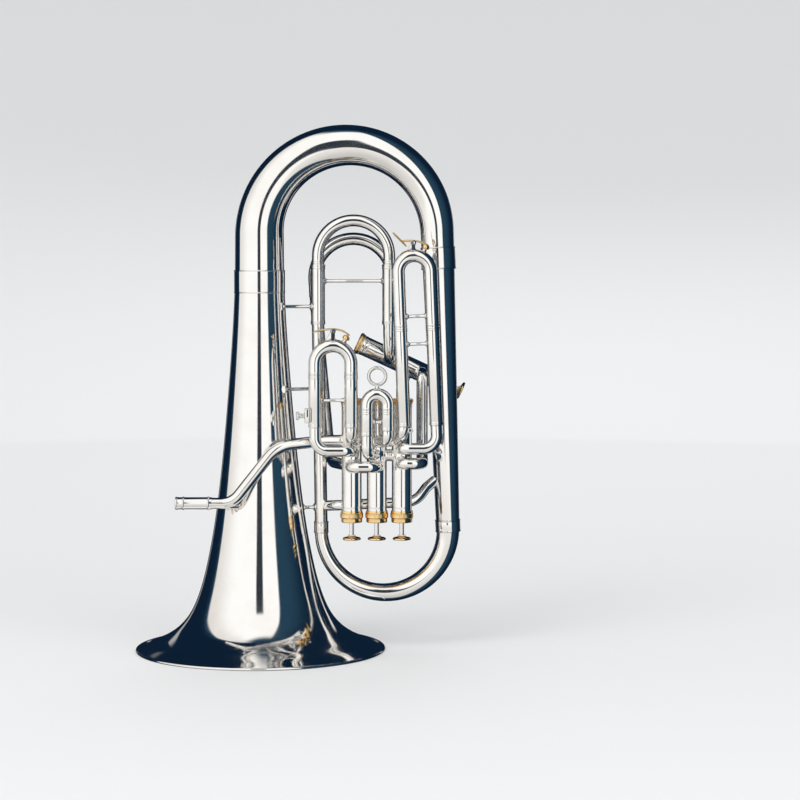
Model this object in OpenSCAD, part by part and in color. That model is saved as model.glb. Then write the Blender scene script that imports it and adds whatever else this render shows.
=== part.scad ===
// Four-valve compensating euphonium standing on its bell.
// The origin is the centre of the bell rim. +Z runs up the bell axis, +X points from the bell
// to the outer branch, and -Y is the side of the three finger valves and their slides.

/* [Bell] */
// Diameter of the bell across its rim
bell_d = 304.8; // [290:0.2:320]
// Length of the bell from the rim to its joint with the large bow
bell_len = 450; // [440:1:460]
// Wall of the bell, the branches and the bows
wall = 0.6; // [0.5:0.05:0.8]
// Radius of the rolled bead around the rim
rim_bead_r = 1.8; // [1.5:0.1:2.4]

/* [Bows and branches] */
// Bend radius of the large bow's centreline
large_bow_r = 108; // [106:0.5:110]
// Height of the centre of the large bow's bend
large_bow_z = 507.5; // [500:0.5:515]
// Outer radius of the large bow where it joins the bell
bow_start_r = 30; // [29.5:0.1:30.2]
// Outer radius of the large bow where it joins the outer branch
bow_end_r = 19.8; // [19:0.1:20.4]
// Lean of the outer branch away from the bell, in degrees
branch_tilt = 2.4; // [1.5:0.1:3]
// Bend radius of the small bow's centreline
small_bow_r = 77.5; // [76:0.5:79]
// Height of the centre of the small bow's bend
small_bow_z = 147.5; // [144:0.5:152]
// Outer radius of the small bow at the outer branch
small_bow_big_r = 14.1; // [13.5:0.1:14.6]
// Outer radius of the small bow at the inner branch
small_bow_small_r = 7.9; // [7.6:0.1:8.3]

/* [Valves] */
// Spacing of the three finger valves
valve_pitch = 30.2; // [29.6:0.1:31]
// Outer radius of a valve casing
casing_r = 12; // [11.8:0.1:12.4]
// Wall of a valve casing
casing_wall = 0.6; // [0.5:0.05:0.8]
// Radial clearance of a piston in its casing
piston_gap = 0.05; // [0.03:0.01:0.08]
// Travel of a valve when it is pressed
stroke = 14.5; // [12:0.5:15]
// Outer radius of the knuckles and valve tubing
knuckle_r = 6.9; // [6.8:0.1:7]
// Wall of the knuckles and slide tubing
tube_wall = 0.5; // [0.4:0.05:0.6]
// Height between the rows of ports
row_pitch = 15.5; // [15.3:0.1:15.8]
// Lean of the fourth valve below the horizontal, in degrees
valve4_tilt = 24.8; // [24.4:0.2:25.2]

/* [Slides] */
// Outer radius of the sleeves and crooks of the valve slides
slide_r = 7.75; // [7.6:0.05:7.9]
// Radial clearance of a slide's inner leg in its sleeve
slide_gap = 0.05; // [0.03:0.01:0.08]
// Outer radius of the main tuning slide's sleeves
main_sleeve_r = 8.5; // [8.3:0.1:8.7]
// Outer radius of the main tuning slide's crook
main_crook_r = 7.3; // [7.1:0.1:7.4]
// Half of the distance between the legs of the main tuning slide
main_half = 43.4; // [43:0.1:44]
// Lean of the third slide, in degrees
slide3_tilt = 2.2; // [1.5:0.1:2.6]
// Lean of the fourth slide, in degrees
slide4_tilt = 4.3; // [4:0.1:4.6]

/* [Mouthpiece receiver] */
// Length of the receiver
receiver_len = 38; // [34:1:42]
// Radius of the receiver's mouth, for a large-shank mouthpiece
receiver_bore_r = 6.6; // [6.3:0.1:6.8]

/* [Fittings] */
// Radius of the bell and slide brace rods
brace_r = 2; // [1.6:0.1:2.4]
// Radius of the lyre socket's bore
lyre_bore_r = 2.05; // [2:0.05:2.3]
// Radius of a water key's hinge pin
key_pin_r = 1.2; // [1:0.1:1.4]
// Radius of the finger ring's wire
ring_wire_r = 1.95; // [1.8:0.05:2.1]

/* [Hidden] */
$fn = 48;
silver = "silver";
gold = "goldenrod";
eps = 0.01;

// heights of the three rows of ports, from the leadpipe's row down
row = [for (i = [0 : 2]) 259 - i*row_pitch];
valve_x = [for (i = [0 : 2]) 112.6 + i*valve_pitch];
// heights of the front ports that lie between the rows
slide1_right_z = 262.6;
slide1_left_z = 248.4;
slide3_left_z = 265.4;
slide3_right_z = 251.2;
link_z = 233;
knuckle_z = 229;
cross_z = 241.5;
valve_y = -38;
slide_y = -66;
stub_len = 15.4;
casing_top_z = 171.6;
casing_len = 131.4;
cap_h = 12;
bottom_cap_h = 6.6;
cap_r = 13.8;
stem_r = 2.65;
stem_gap = 0.15;
button_gap = stroke + 1;
piston_start = 4;
piston_len = 96;
piston_r = casing_r - casing_wall - piston_gap;
spring_r = 7;
spring_wire = 0.5;

// outer branch: its axis runs from branch_top down to branch_low
branch_dir = [sin(branch_tilt), 0, -cos(branch_tilt)];
branch_top = [large_bow_r + large_bow_r*cos(branch_tilt), 0, large_bow_z + large_bow_r*sin(branch_tilt)]
  + 33*branch_dir;
small_bow_c = [152, 0, small_bow_z];
branch_low = small_bow_c + small_bow_r*[cos(branch_tilt), 0, sin(branch_tilt)];
inner_low = small_bow_c - [small_bow_r, 0, 0];
main_x = 71;
main_joint_z = 471;
inner_top = [main_x, 0, 398];
main_arc_z = 481;
main_bottom_z = 398;

// fourth valve: s measures along its axis from the bottom cap
valve4_dir = [cos(valve4_tilt), 0, -sin(valve4_tilt)];
valve4_up = [sin(valve4_tilt), 0, cos(valve4_tilt)];
valve4_base = [124.2, 34, 372.3];
function on_valve4(s) = valve4_base + s*valve4_dir;
casing4_len = 103;
main_port_s = (main_x + 2*main_half - valve4_base[0])/valve4_dir[0];
return_port_s = 64;
link_port_s = 81;

// the slides: [middle x, y, height of the bend's centre, half spacing, lean,
//              height of the joint, foot of the left sleeve, foot of the right sleeve, inner leg]
slide1 = [valve_x[0] - 21.4, slide_y, 352.5, 21.4, 0, 339, 276, 276, 50];
slide2 = [valve_x[1] + 1, slide_y, 303.5, 12.2, 0, 297, 266, 272, 19];
slide3 = [187.9, slide_y, 461.8, 19, slide3_tilt, 396, 278, 278, 92];
slide4 = [113.4, 34, 455, 48, slide4_tilt, 440, 372, 392, 42];

// ---- curves and tubes ----

function unit(v) = v/norm(v);

// points along the bend at corner b between a and c, with bend radius r
function bend_points(a, b, c, r) =
  let (u = unit(b - a), w = unit(c - b), turn = acos(u*w), side = unit(w - u*(u*w)))
  let (start = b - u*r*tan(turn/2), steps = max(2, ceil(turn/16)))
  [for (k = [0 : steps]) let (s = turn*k/steps)
    start + side*r*(1 - cos(s)) + u*r*sin(s)];

// a route through corners pts, rounded by the radii in r
function route(pts, r) = concat(
  [pts[0]],
  [for (i = [1 : len(pts) - 2]) each bend_points(pts[i - 1], pts[i], pts[i + 1], r[i - 1])],
  [pts[len(pts) - 1]]);

function along(p, i) =
  i == 0 ? unit(p[1] - p[0])
  : i == len(p) - 1 ? unit(p[i] - p[i - 1])
  : unit(unit(p[i + 1] - p[i]) + unit(p[i] - p[i - 1]));

// side vectors carried along p without twist
function sides_of(p) =
  let (t0 = along(p, 0), x0 = abs(t0[1]) > 0.9 ? [1, 0, 0] : [0, 1, 0])
  [for (i = 0, x = unit(x0 - t0*(x0*t0)); i < len(p);
        i = i + 1, t = along(p, min(i, len(p) - 1)), x = unit(x - t*(x*t))) x];

function ring_points(p, x, r, n) =
  [for (i = [0 : len(p) - 1]) let (y = cross(along(p, i), x[i]))
    for (k = [0 : n - 1]) p[i] + r[i]*(x[i]*cos(360*k/n) + y*sin(360*k/n))];

// a hollow tube along p, with outer radii r and n sides
module sweep(p, r, w, n) {
  m = len(p);
  x = sides_of(p);
  radii = is_list(r) ? r : [for (i = [0 : m - 1]) r];
  inner = m*n;
  polyhedron(
    points = concat(ring_points(p, x, radii, n), ring_points(p, x, [for (v = radii) v - w], n)),
    faces = concat(
      [for (i = [0 : m - 2]) for (k = [0 : n - 1]) let (a = i*n + k, b = i*n + (k + 1)%n)
        each [[a, a + n, b], [b, a + n, b + n]]],
      [for (i = [0 : m - 2]) for (k = [0 : n - 1]) let (a = inner + i*n + k, b = inner + i*n + (k + 1)%n)
        each [[a, b, a + n], [b, b + n, a + n]]],
      [for (k = [0 : n - 1]) let (j = (k + 1)%n)
        each [[k, j, inner + k], [j, inner + j, inner + k]]],
      [for (k = [0 : n - 1]) let (j = (k + 1)%n, e = (m - 1)*n)
        each [[e + k, e + inner + k, e + j], [e + j, e + inner + k, e + inner + j]]]),
    convexity = 6);
}

// places children at point a with their Z axis along b - a
module aim(a, b) {
  d = unit(b - a);
  translate(a) rotate([0, acos(d[2]), atan2(d[1], d[0])]) children();
}

module rod(a, b, r) {
  aim(a, b) cylinder(h = norm(b - a), r = r);
}

module ring(r_out, r_in, h) {
  difference() {
    cylinder(h = h, r = r_out);
    translate([0, 0, -1]) cylinder(h = h + 2, r = r_in);
  }
}

module cone_tube(a, b, ra, rb, w) {
  aim(a, b) difference() {
    cylinder(h = norm(b - a), r1 = ra, r2 = rb);
    translate([0, 0, -eps]) cylinder(h = norm(b - a) + 2*eps, r1 = ra - w, r2 = rb - w);
  }
}

// a ferrule with a raised bead near each end
module collar(r_out, r_in, h) {
  lip = 0.5;
  difference() {
    union() {
      cylinder(h = h, r = r_out);
      for (z = [0.8, h - 2]) translate([0, 0, z]) cylinder(h = 1.2, r = r_out + lip);
    }
    translate([0, 0, -1]) cylinder(h = h + 2, r = r_in);
  }
}

// ---- bell, bows and branches ----

// bell outline: height above the rim and outer radius
bell_stations = [
  [1.2, 150.2], [3.2, 145.5], [8, 135], [16, 117.5], [28, 100.3], [45, 86.2], [70, 75],
  [105, 65.4], [160, 55.2], [230, 46.4], [310, 39], [390, 33], [bell_len, 29.9]
];

function spline(p, i, t) =
  let (a = p[max(i - 1, 0)], b = p[i], c = p[i + 1], d = p[min(i + 2, len(p) - 1)])
  let (s1 = (c - a)/max(c[0] - a[0], eps), s2 = (d - b)/max(d[0] - b[0], eps), h = c[0] - b[0])
  [b[0] + t*h,
   b[1]*(2*t*t*t - 3*t*t + 1) + c[1]*(3*t*t - 2*t*t*t)
   + h*s1[1]*(t*t*t - 2*t*t + t) + h*s2[1]*(t*t*t - t*t)];

bell_outline = concat(
  [for (i = [0 : len(bell_stations) - 2]) for (t = [0, 1/3, 2/3]) spline(bell_stations, i, t)],
  [bell_stations[len(bell_stations) - 1]]);

// the outline moved inward by the wall
function inset(p, w) = [for (i = [0 : len(p) - 1])
  let (d = unit(p[min(i + 1, len(p) - 1)] - p[max(i - 1, 0)])) p[i] + w*[d[1], -d[0]]];

module bell() {
  inside = inset(bell_outline, wall);
  grow = bell_d/304.8;
  color(silver) rotate_extrude($fn = 96) polygon(concat(
    [for (p = bell_outline) [p[1]*(p[0] < 100 ? grow : 1), p[0]]],
    [for (i = [len(inside) - 1 : -1 : 0]) let (p = inside[i]) [p[1]*(p[0] < 100 ? grow : 1), p[0]]]));
}

// rolled bead with a narrow flat land to stand on
module bell_rim() {
  land = 0.2;
  color(silver) rotate_extrude($fn = 96) translate([bell_d/2 - rim_bead_r, rim_bead_r - land])
    intersection() {
      circle(r = rim_bead_r, $fn = 32);
      square([4*rim_bead_r, 2*(rim_bead_r - land)], center = true);
    }
}

module bell_ferrule() {
  color(silver) translate([0, 0, bell_len - 14]) collar(30.9, 30.3, 28);
}

module large_bow() {
  steps = 22;
  lead = [0, 0, bell_len + 0.2];
  bend = [for (k = [0 : steps]) let (s = (180 - branch_tilt)*k/steps)
    [large_bow_r*(1 - cos(s)), 0, large_bow_z + large_bow_r*sin(s)]];
  path = concat([lead], bend, [branch_top - 0.2*branch_dir]);
  m = len(path) - 1;
  radii = [for (i = [0 : m]) let (t = i/m) bow_start_r + (bow_end_r - bow_start_r)*pow(t, 0.92)];
  color(silver) sweep(path, radii, wall, 28);
}

module bow_ferrule() {
  color(silver) aim(branch_top - 13*branch_dir, branch_top) collar(20.9, 20.35, 27);
}

module outer_branch() {
  low = branch_low - 0.2*branch_dir;
  color(silver) cone_tube(branch_top, low, bow_end_r - 0.2, small_bow_big_r + 0.15, wall);
}

module small_bow() {
  steps = 20;
  path = [for (k = [0 : steps]) let (s = -branch_tilt + (180 + branch_tilt)*k/steps)
    small_bow_c + small_bow_r*[cos(s), 0, -sin(s)]];
  radii = [for (i = [0 : steps]) let (t = i/steps)
    small_bow_big_r + (small_bow_small_r - small_bow_big_r)*t];
  color(silver) sweep(path, radii, wall, 22);
}

module small_bow_ferrules() {
  color(silver) {
    aim(branch_low - 9*branch_dir, branch_low) collar(15.2, 14.55, 15);
    translate(inner_low - [0, 0, 4]) collar(8.8, 8.1, 14);
  }
}

module inner_branch() {
  color(silver) cone_tube(inner_low + [0, 0, 0.2], inner_top, small_bow_small_r, 7.6, tube_wall);
}

module leadpipe() {
  start = [-97.4 + receiver_len, -62, 185.8];
  path = route([start, [-29.5, -61.5, 185.8], [24, -57, 254], [80, valve_y - 2, row[0]],
    [valve_x[0] - stub_len - 0.1, valve_y, row[0]]], [26, 42, 22]);
  m = len(path) - 1;
  color(silver) sweep(path, [for (i = [0 : m]) i == m ? knuckle_r : 6.6 + 0.75*i/m], tube_wall, 20);
}

// barrel with a rounded mouth, a flange and a thin collar, bored for a mouthpiece shank
module mouthpiece_receiver() {
  mouth = [-97.4, -62, 185.8];
  barrel_r = 7.25;
  lip = 0.5;
  socket_z = receiver_len - 0.2;
  color(silver) translate(mouth) rotate([0, 90, 0]) difference() {
    union() {
      cylinder(h = receiver_len + 6, r = barrel_r);
      cylinder(h = 0.8, r1 = barrel_r, r2 = barrel_r + lip);
      translate([0, 0, 0.8]) cylinder(h = 1.8, r = barrel_r + lip);
      translate([0, 0, 8.6]) cylinder(h = 1.7, r = barrel_r + 0.8);
      translate([0, 0, receiver_len + 0.6]) cylinder(h = 1.6, r = barrel_r + 0.85);
    }
    translate([0, 0, -1]) cylinder(h = receiver_len - 7, r = receiver_bore_r);
    translate([0, 0, receiver_len - 9]) cylinder(h = 20, r = 5.2);
    translate([0, 0, socket_z]) cylinder(h = 20, r = 6.75);
  }
}

// ---- valves, drawn with the top cap at z = 0 and the bottom cap above it ----

// port list: [height, angle, reach]
module casing(len, ports) {
  difference() {
    union() {
      cylinder(h = len, r = casing_r);
      for (z = [0, len - 4]) translate([0, 0, z]) cylinder(h = 4, r = casing_r + 0.35);
      for (p = ports) translate([0, 0, p[0]]) rotate([0, 90, p[1]]) cylinder(h = p[2], r = knuckle_r);
    }
    translate([0, 0, -1]) cylinder(h = len + 2, r = casing_r - casing_wall);
    for (p = ports) translate([0, 0, p[0]]) rotate([0, 90, p[1]])
      cylinder(h = p[2] + 1, r = knuckle_r - tube_wall);
  }
}

// screwed cap in two tiers, with a grip ring, a skirt over the casing and a hole for the stem
module top_cap() {
  skirt = 3;
  tier_r = cap_r - 1.2;
  color(gold) difference() {
    union() {
      translate([0, 0, -cap_h + 0.8]) cylinder(h = cap_h - 1, r = tier_r);
      translate([0, 0, -5.4]) cylinder(h = 5.6, r = cap_r);
      translate([0, 0, -1]) cylinder(h = skirt + 1, r = cap_r - 0.7);
      translate([0, 0, -cap_h]) cylinder(h = 1.2, r1 = 7, r2 = 9);
    }
    translate([0, 0, -cap_h - 1]) cylinder(h = cap_h + 4, r = stem_r + stem_gap);
    translate([0, 0, -cap_h + 3]) cylinder(h = cap_h, r = casing_r - casing_wall);
    translate([0, 0, -0.2]) cylinder(h = skirt + 1, r = casing_r + 0.5);
  }
}

// flat screwed cap with a sunk face and a vent hole
module bottom_cap(len) {
  vent_r = 1;
  color(gold) translate([0, 0, len + 0.2]) difference() {
    union() {
      cylinder(h = bottom_cap_h, r = cap_r - 0.9);
      translate([0, 0, 2.4]) cylinder(h = 3.4, r = cap_r);
    }
    translate([0, 0, -1]) cylinder(h = 5, r = casing_r - casing_wall);
    translate([0, 0, bottom_cap_h - 0.8]) cylinder(h = 1, r = cap_r - 2.2);
    cylinder(h = 2*bottom_cap_h, r = vent_r);
  }
}

// hollow piston with a tubular passage at each height in bores
module piston(start, len, bores) {
  core = piston_r - 0.6;
  translate([0, 0, start]) difference() {
    union() {
      difference() {
        cylinder(h = len, r = piston_r);
        translate([0, 0, 1.5]) cylinder(h = len - 3, r = core);
      }
      for (b = bores) intersection() {
        translate([0, 0, b[0] - start]) rotate([0, 90, b[1]])
          translate([0, 0, -20]) cylinder(h = 40, r = knuckle_r - tube_wall + 0.35);
        translate([0, 0, 1]) cylinder(h = len - 2, r = piston_r - 0.3);
      }
    }
    for (b = bores) translate([0, 0, b[0] - start]) rotate([0, 90, b[1]])
      translate([0, 0, -20]) cylinder(h = 40, r = knuckle_r - tube_wall - 0.1);
  }
}

// dished finger button on its stem, which screws into the piston
module button(start) {
  disc = 11;
  color(gold) translate([0, 0, -cap_h - button_gap - 5]) difference() {
    union() {
      cylinder(h = 3, r = disc);
      translate([0, 0, 3 - eps]) cylinder(h = 2, r1 = disc - 1, r2 = 5);
      translate([0, 0, 3]) cylinder(h = cap_h + button_gap + 2 + start - 0.1, r = stem_r);
    }
    translate([0, 0, -1]) cylinder(h = 1.9, r1 = disc, r2 = disc - 2.4);
  }
}

// coil from z = from to z = to
module valve_spring(from, to) {
  turns = 6;
  per_turn = 12;
  rise = (to - from - 2*spring_wire)/turns;
  path = [for (i = [0 : turns*per_turn]) let (s = 360*i/per_turn)
    [spring_r*cos(s), spring_r*sin(s), from + spring_wire + rise*i/per_turn]];
  color(silver) solid_sweep(path, spring_wire, 5);
}

// a solid round wire along p
module solid_sweep(p, r, n) {
  m = len(p);
  x = sides_of(p);
  e = (m - 1)*n;
  polyhedron(
    points = ring_points(p, x, [for (v = p) r], n),
    faces = concat(
      [for (i = [0 : m - 2]) for (k = [0 : n - 1]) let (a = i*n + k, b = i*n + (k + 1)%n)
        each [[a, a + n, b], [b, a + n, b + n]]],
      [[for (k = [0 : n - 1]) k], [for (k = [n - 1 : -1 : 0]) e + k]]),
    convexity = 10);
}

module at_valve(i) {
  translate([valve_x[i], valve_y, casing_top_z]) children();
}

// the fourth valve stands with its top cap at the far end of its axis
module at_valve4() {
  translate(on_valve4(casing4_len)) rotate([0, -90 + valve4_tilt, 0]) children();
}

gap_half = valve_pitch/2 - 0.05;
function h(i) = row[i] - casing_top_z;
function up(z) = z - casing_top_z;
function h4(s) = casing4_len - s;

ports_1 = [[h(0), 180, stub_len], [up(slide1_right_z), 270, stub_len], [h(0), 0, gap_half],
  [h(0), 90, stub_len], [up(slide1_left_z), 270, stub_len], [h(1), 90, stub_len],
  [up(knuckle_z), 270, stub_len], [h(2), 111, stub_len]];
ports_2 = [[h(0), 180, gap_half], [h(0), 293, stub_len], [h(0), 0, gap_half], [h(0), 90, stub_len],
  [h(1), 248, stub_len], [up(cross_z), 0, gap_half], [h(1), 90, stub_len],
  [up(knuckle_z), 270, stub_len]];
ports_3 = [[h(0), 180, gap_half], [up(slide3_left_z), 270, stub_len], [h(0), 90, stub_len],
  [up(cross_z), 180, gap_half], [up(slide3_right_z), 270, stub_len], [h(1), 90, stub_len],
  [up(link_z), 270, stub_len], [h(2), 90, stub_len]];
ports_4 = [[h4(main_port_s), 270, stub_len], [h4(main_port_s), 0, stub_len],
  [h4(return_port_s), 180, stub_len], [h4(link_port_s), 270, stub_len]];

module casing_1() { color(silver) at_valve(0) casing(casing_len, ports_1); }
module casing_2() { color(silver) at_valve(1) casing(casing_len, ports_2); }
module casing_3() { color(silver) at_valve(2) casing(casing_len, ports_3); }
module casing_4() { color(silver) at_valve4() casing(casing4_len, ports_4); }

module top_cap_1() { at_valve(0) top_cap(); }
module top_cap_2() { at_valve(1) top_cap(); }
module top_cap_3() { at_valve(2) top_cap(); }
module top_cap_4() { at_valve4() top_cap(); }

module bottom_cap_1() { at_valve(0) bottom_cap(casing_len); }
module bottom_cap_2() { at_valve(1) bottom_cap(casing_len); }
module bottom_cap_3() { at_valve(2) bottom_cap(casing_len); }
module bottom_cap_4() { at_valve4() bottom_cap(casing4_len); }

bores = [[h(0), 0], [h(1), 90], [h(2), 30]];
piston4_len = 73;
bores_4 = [[h4(main_port_s), 90], [h4(return_port_s), 0], [h4(link_port_s), 90]];

module piston_1() { color(silver) at_valve(0) piston(piston_start, piston_len, bores); }
module piston_2() { color(silver) at_valve(1) piston(piston_start, piston_len, bores); }
module piston_3() { color(silver) at_valve(2) piston(piston_start, piston_len, bores); }
module piston_4() { color(silver) at_valve4() piston(piston_start, piston4_len, bores_4); }

module button_1() { at_valve(0) button(piston_start); }
module button_2() { at_valve(1) button(piston_start); }
module button_3() { at_valve(2) button(piston_start); }
module button_4() { at_valve4() button(piston_start); }

// a spring stands between the piston and the floor of the bottom cap
cap_floor = 4.1;
spring_top = piston_start + piston_len + 0.2;
spring4_top = piston_start + piston4_len + 0.2;
module valve_spring_1() { at_valve(0) valve_spring(spring_top, casing_len + cap_floor); }
module valve_spring_2() { at_valve(1) valve_spring(spring_top, casing_len + cap_floor); }
module valve_spring_3() { at_valve(2) valve_spring(spring_top, casing_len + cap_floor); }
module valve_spring_4() { at_valve4() valve_spring(spring4_top, casing4_len + cap_floor); }

// ---- slides ----

// puts children in a slide's own frame: the bend's centre at 0, legs running down
module at_slide(s) {
  translate([s[0], s[1], s[2]]) rotate([0, -s[4], 0]) children();
}

// point of a slide's frame in the frame of the instrument
function from_slide(s, x, z) =
  [s[0] + x*cos(s[4]) - z*sin(s[4]), s[1], s[2] + x*sin(s[4]) + z*cos(s[4])];
function foot(s, side) = let (i = side < 0 ? 6 : 7) from_slide(s, side*s[3], s[i] - s[2]);

// upper half of a ring of bend radius half and tube radius r
module half_ring(half, r) {
  rotate([90, 0, 0]) rotate_extrude(angle = 180) translate([half, 0]) circle(r = r);
}

// half-round bend with two straight legs and two thinner inner legs below the joint
module crook(half, drop, inner_leg, r, leg_r) {
  w = 0.6;
  difference() {
    union() {
      half_ring(half, r);
      for (x = [-half, half]) translate([x, 0, -drop]) cylinder(h = drop, r = r);
    }
    half_ring(half, r - w);
    for (x = [-half, half]) translate([x, 0, -drop - 1]) cylinder(h = drop + 1, r = r - w);
  }
  for (x = [-half, half]) translate([x, 0, -drop - inner_leg])
    ring(leg_r, leg_r - 0.45, inner_leg + min(drop, 8) - 1);
}

leg_r = slide_r - tube_wall - slide_gap;

module slide_crook(s) {
  drop = s[2] - s[5] - 0.3;
  color(silver) at_slide(s) crook(s[3], drop, s[8], slide_r, leg_r);
}

module slide_1_crook() { slide_crook(slide1); }
module slide_2_crook() { slide_crook(slide2); }
module slide_3_crook() {
  slide_crook(slide3);
  color(silver) at_slide(slide3) leg_brace(slide3[3] - slide_r + 0.2, 409 - slide3[2]);
}
module slide_4_crook() { slide_crook(slide4); }

// two sleeves with collars at their mouths, closed down at the foot onto the tubes that they
// meet, and a brace between them at height brace_z unless it is 0
module sleeves(s, brace_z) {
  color(silver) at_slide(s) {
    for (side = [-1, 1]) {
      low = s[side < 0 ? 6 : 7] - s[2];
      high = s[5] - s[2];
      translate([side*s[3], 0, low]) difference() {
        union() {
          cylinder(h = high - low, r = slide_r);
          translate([0, 0, high - low - 5]) cylinder(h = 5, r = slide_r + 0.6);
          cylinder(h = 5, r = slide_r + 0.5);
        }
        translate([0, 0, 5]) cylinder(h = high - low, r = slide_r - tube_wall);
        translate([0, 0, -1]) cylinder(h = high - low, r = knuckle_r - tube_wall);
      }
    }
    if (brace_z > 0) leg_brace(s[3] - slide_r + 0.2, brace_z - s[2]);
  }
}

// a rod with a flange at each end, across a slide's frame
module leg_brace(span, z) {
  translate([-span, 0, z]) rotate([0, 90, 0]) cylinder(h = 2*span, r = brace_r);
  for (x = [-span, span - 1.6]) translate([x, 0, z]) rotate([0, 90, 0]) cylinder(h = 1.6, r = 3.4);
}

module slide_1_sleeves() { sleeves(slide1, 309); }
module slide_2_sleeves() { sleeves(slide2, 283); }
module slide_3_sleeves() { sleeves(slide3, 376); }
module slide_4_sleeves() { sleeves(slide4, 0); }

module main_slide_sleeves() {
  color(silver) {
    for (side = [0, 1]) translate([main_x + side*2*main_half, 0, main_bottom_z]) difference() {
      union() {
        cylinder(h = main_joint_z - main_bottom_z, r = main_sleeve_r);
        translate([0, 0, main_joint_z - main_bottom_z - 6]) cylinder(h = 6, r = main_sleeve_r + 0.7);
        cylinder(h = 5, r = main_sleeve_r + 0.6);
      }
      translate([0, 0, -1]) cylinder(h = 100, r = main_crook_r + slide_gap);
    }
    translate([main_x + main_half, 0, 0]) leg_brace(main_half - main_sleeve_r + 0.2, 451);
  }
}

module main_slide_crook() {
  color(silver) translate([main_x + main_half, 0, main_arc_z]) {
    difference() {
      union() {
        half_ring(main_half, main_crook_r);
        for (x = [-main_half, main_half]) translate([x, 0, -78]) cylinder(h = 78, r = main_crook_r);
      }
      half_ring(main_half, main_crook_r - 0.6);
      for (x = [-main_half, main_half]) translate([x, 0, -79]) cylinder(h = 79, r = main_crook_r - 0.6);
    }
    for (x = [-main_half, main_half]) translate([x, 0, -9.6])
      ring(main_crook_r + 0.7, main_crook_r - 0.2, 5);
  }
}

// from the right leg of the main slide back into the fourth valve
module main_slide_elbow() {
  top = [main_x + 2*main_half, 0, main_bottom_z + 0.1];
  port = on_valve4(main_port_s);
  path = route([top, [top[0], 0, port[2]], port - [0, stub_len + 0.1, 0]], [16]);
  m = len(path) - 1;
  color(silver) sweep(path, [for (i = [0 : m]) 7.6 + (knuckle_r - 7.6)*i/m], tube_wall, 18);
}

// ---- fixed tubes between the slides and valves ----

port_reach = stub_len + 0.1;
function front_port(i, z) = [valve_x[i], valve_y - port_reach, z];
function rear_port(i, j) = [valve_x[i], valve_y + port_reach, row[j]];
function port_at(i, j, angle) =
  [valve_x[i] + port_reach*cos(angle), valve_y + port_reach*sin(angle), row[j]];

module slide_goosenecks() {
  bend = 10;
  color(silver) {
    // first slide: both legs run back into the front of the first casing
    gooseneck([foot(slide1, -1), [slide1[0] - slide1[3], slide_y, slide1_left_z],
      [valve_x[0], slide_y, slide1_left_z], front_port(0, slide1_left_z)], [16, bend]);
    gooseneck([foot(slide1, 1), [valve_x[0], slide_y, slide1_right_z], front_port(0, slide1_right_z)],
      [bend]);
    // second slide
    gooseneck([foot(slide2, -1), [slide2[0] - slide2[3], slide_y, row[1]], port_at(1, 1, 248)], [bend]);
    gooseneck([foot(slide2, 1), [slide2[0] + slide2[3], slide_y, row[0]], port_at(1, 0, 293)], [bend]);
    // third slide
    gooseneck([foot(slide3, -1), [valve_x[2], slide_y, slide3_left_z], front_port(2, slide3_left_z)],
      [bend]);
    gooseneck([foot(slide3, 1), [foot(slide3, 1)[0] + 1, slide_y, slide3_right_z],
      [valve_x[2], slide_y, slide3_right_z], front_port(2, slide3_right_z)], [16, bend]);
    eyelet([183.2, slide_y - 4, slide3_right_z + 5.4], 20);
  }
}

module gooseneck(pts, bends) {
  sweep(route(pts, bends), knuckle_r, tube_wall, 14);
}

// small ring on a stem that stands on foot, h high in all
module eyelet(foot, h) {
  eye_r = 2.35;
  wire = 0.85;
  translate(foot) cylinder(h = h - 2*eye_r - wire, r = 1.1);
  translate(foot + [0, 0, h - eye_r - wire]) rotate([90, 0, 0])
    rotate_extrude($fn = 24) translate([eye_r, 0]) circle(r = wire, $fn = 12);
}

// the fourth slide's right leg joins the fourth valve, and its left leg runs down to the first
module slide_4_pipes() {
  port = on_valve4(main_port_s);
  right = foot(slide4, 1);
  left = foot(slide4, -1);
  entry = port_at(0, 2, 111);
  turn = [84.5, 34, row[2]];
  color(silver) {
    gooseneck([right, port + 26*valve4_up, port + port_reach*valve4_up], [20]);
    gooseneck([left, turn, entry], [16]);
  }
}

// compensating loops behind the three casings, from the top row to the middle row
module comp_loops() {
  loop_r = 6.6;
  tops = [312, 286, 334];
  color(silver) for (i = [0 : 2])
    sweep(route([rear_port(i, 0), [valve_x[i], valve_y + 27, row[0]], [valve_x[i], valve_y + 27, tops[i]],
      [valve_x[i], valve_y + 44.4, tops[i]], [valve_x[i], valve_y + 44.4, row[1]], rear_port(i, 1)],
      [9, 8.6, 8.6, 9]), loop_r, tube_wall, 12);
}

// U-shaped knuckle in front of the first two casings
module valve_knuckle() {
  color(silver) gooseneck([front_port(0, knuckle_z), [valve_x[0], slide_y, knuckle_z],
    [valve_x[1], slide_y, knuckle_z], front_port(1, knuckle_z)], [10, 10]);
}

// the two tubes that join the third valve and the fourth
module valve_links() {
  front_y = -62;
  link = on_valve4(link_port_s);
  back = on_valve4(return_port_s);
  color(silver) {
    gooseneck([front_port(2, link_z), [valve_x[2], front_y, link_z], [link[0], front_y, link_z],
      [link[0], 0, link_z + 3], [link[0], 0, link[2]], link - [0, port_reach, 0]], [8, 12, 14, 16]);
    gooseneck([rear_port(2, 2), [valve_x[2], 34, row[2]], [valve_x[2], 34, 318],
      back - port_reach*valve4_up], [16, 14]);
  }
}

// ---- braces and fittings ----

module foot_disc(p, toward, r) {
  aim(p, toward) cylinder(h = 1.5, r = r);
}

module strut(a, b, r, disc_r) {
  rod(a, b, r);
  foot_disc(a, b, disc_r);
  foot_disc(b, a, disc_r);
}

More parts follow.
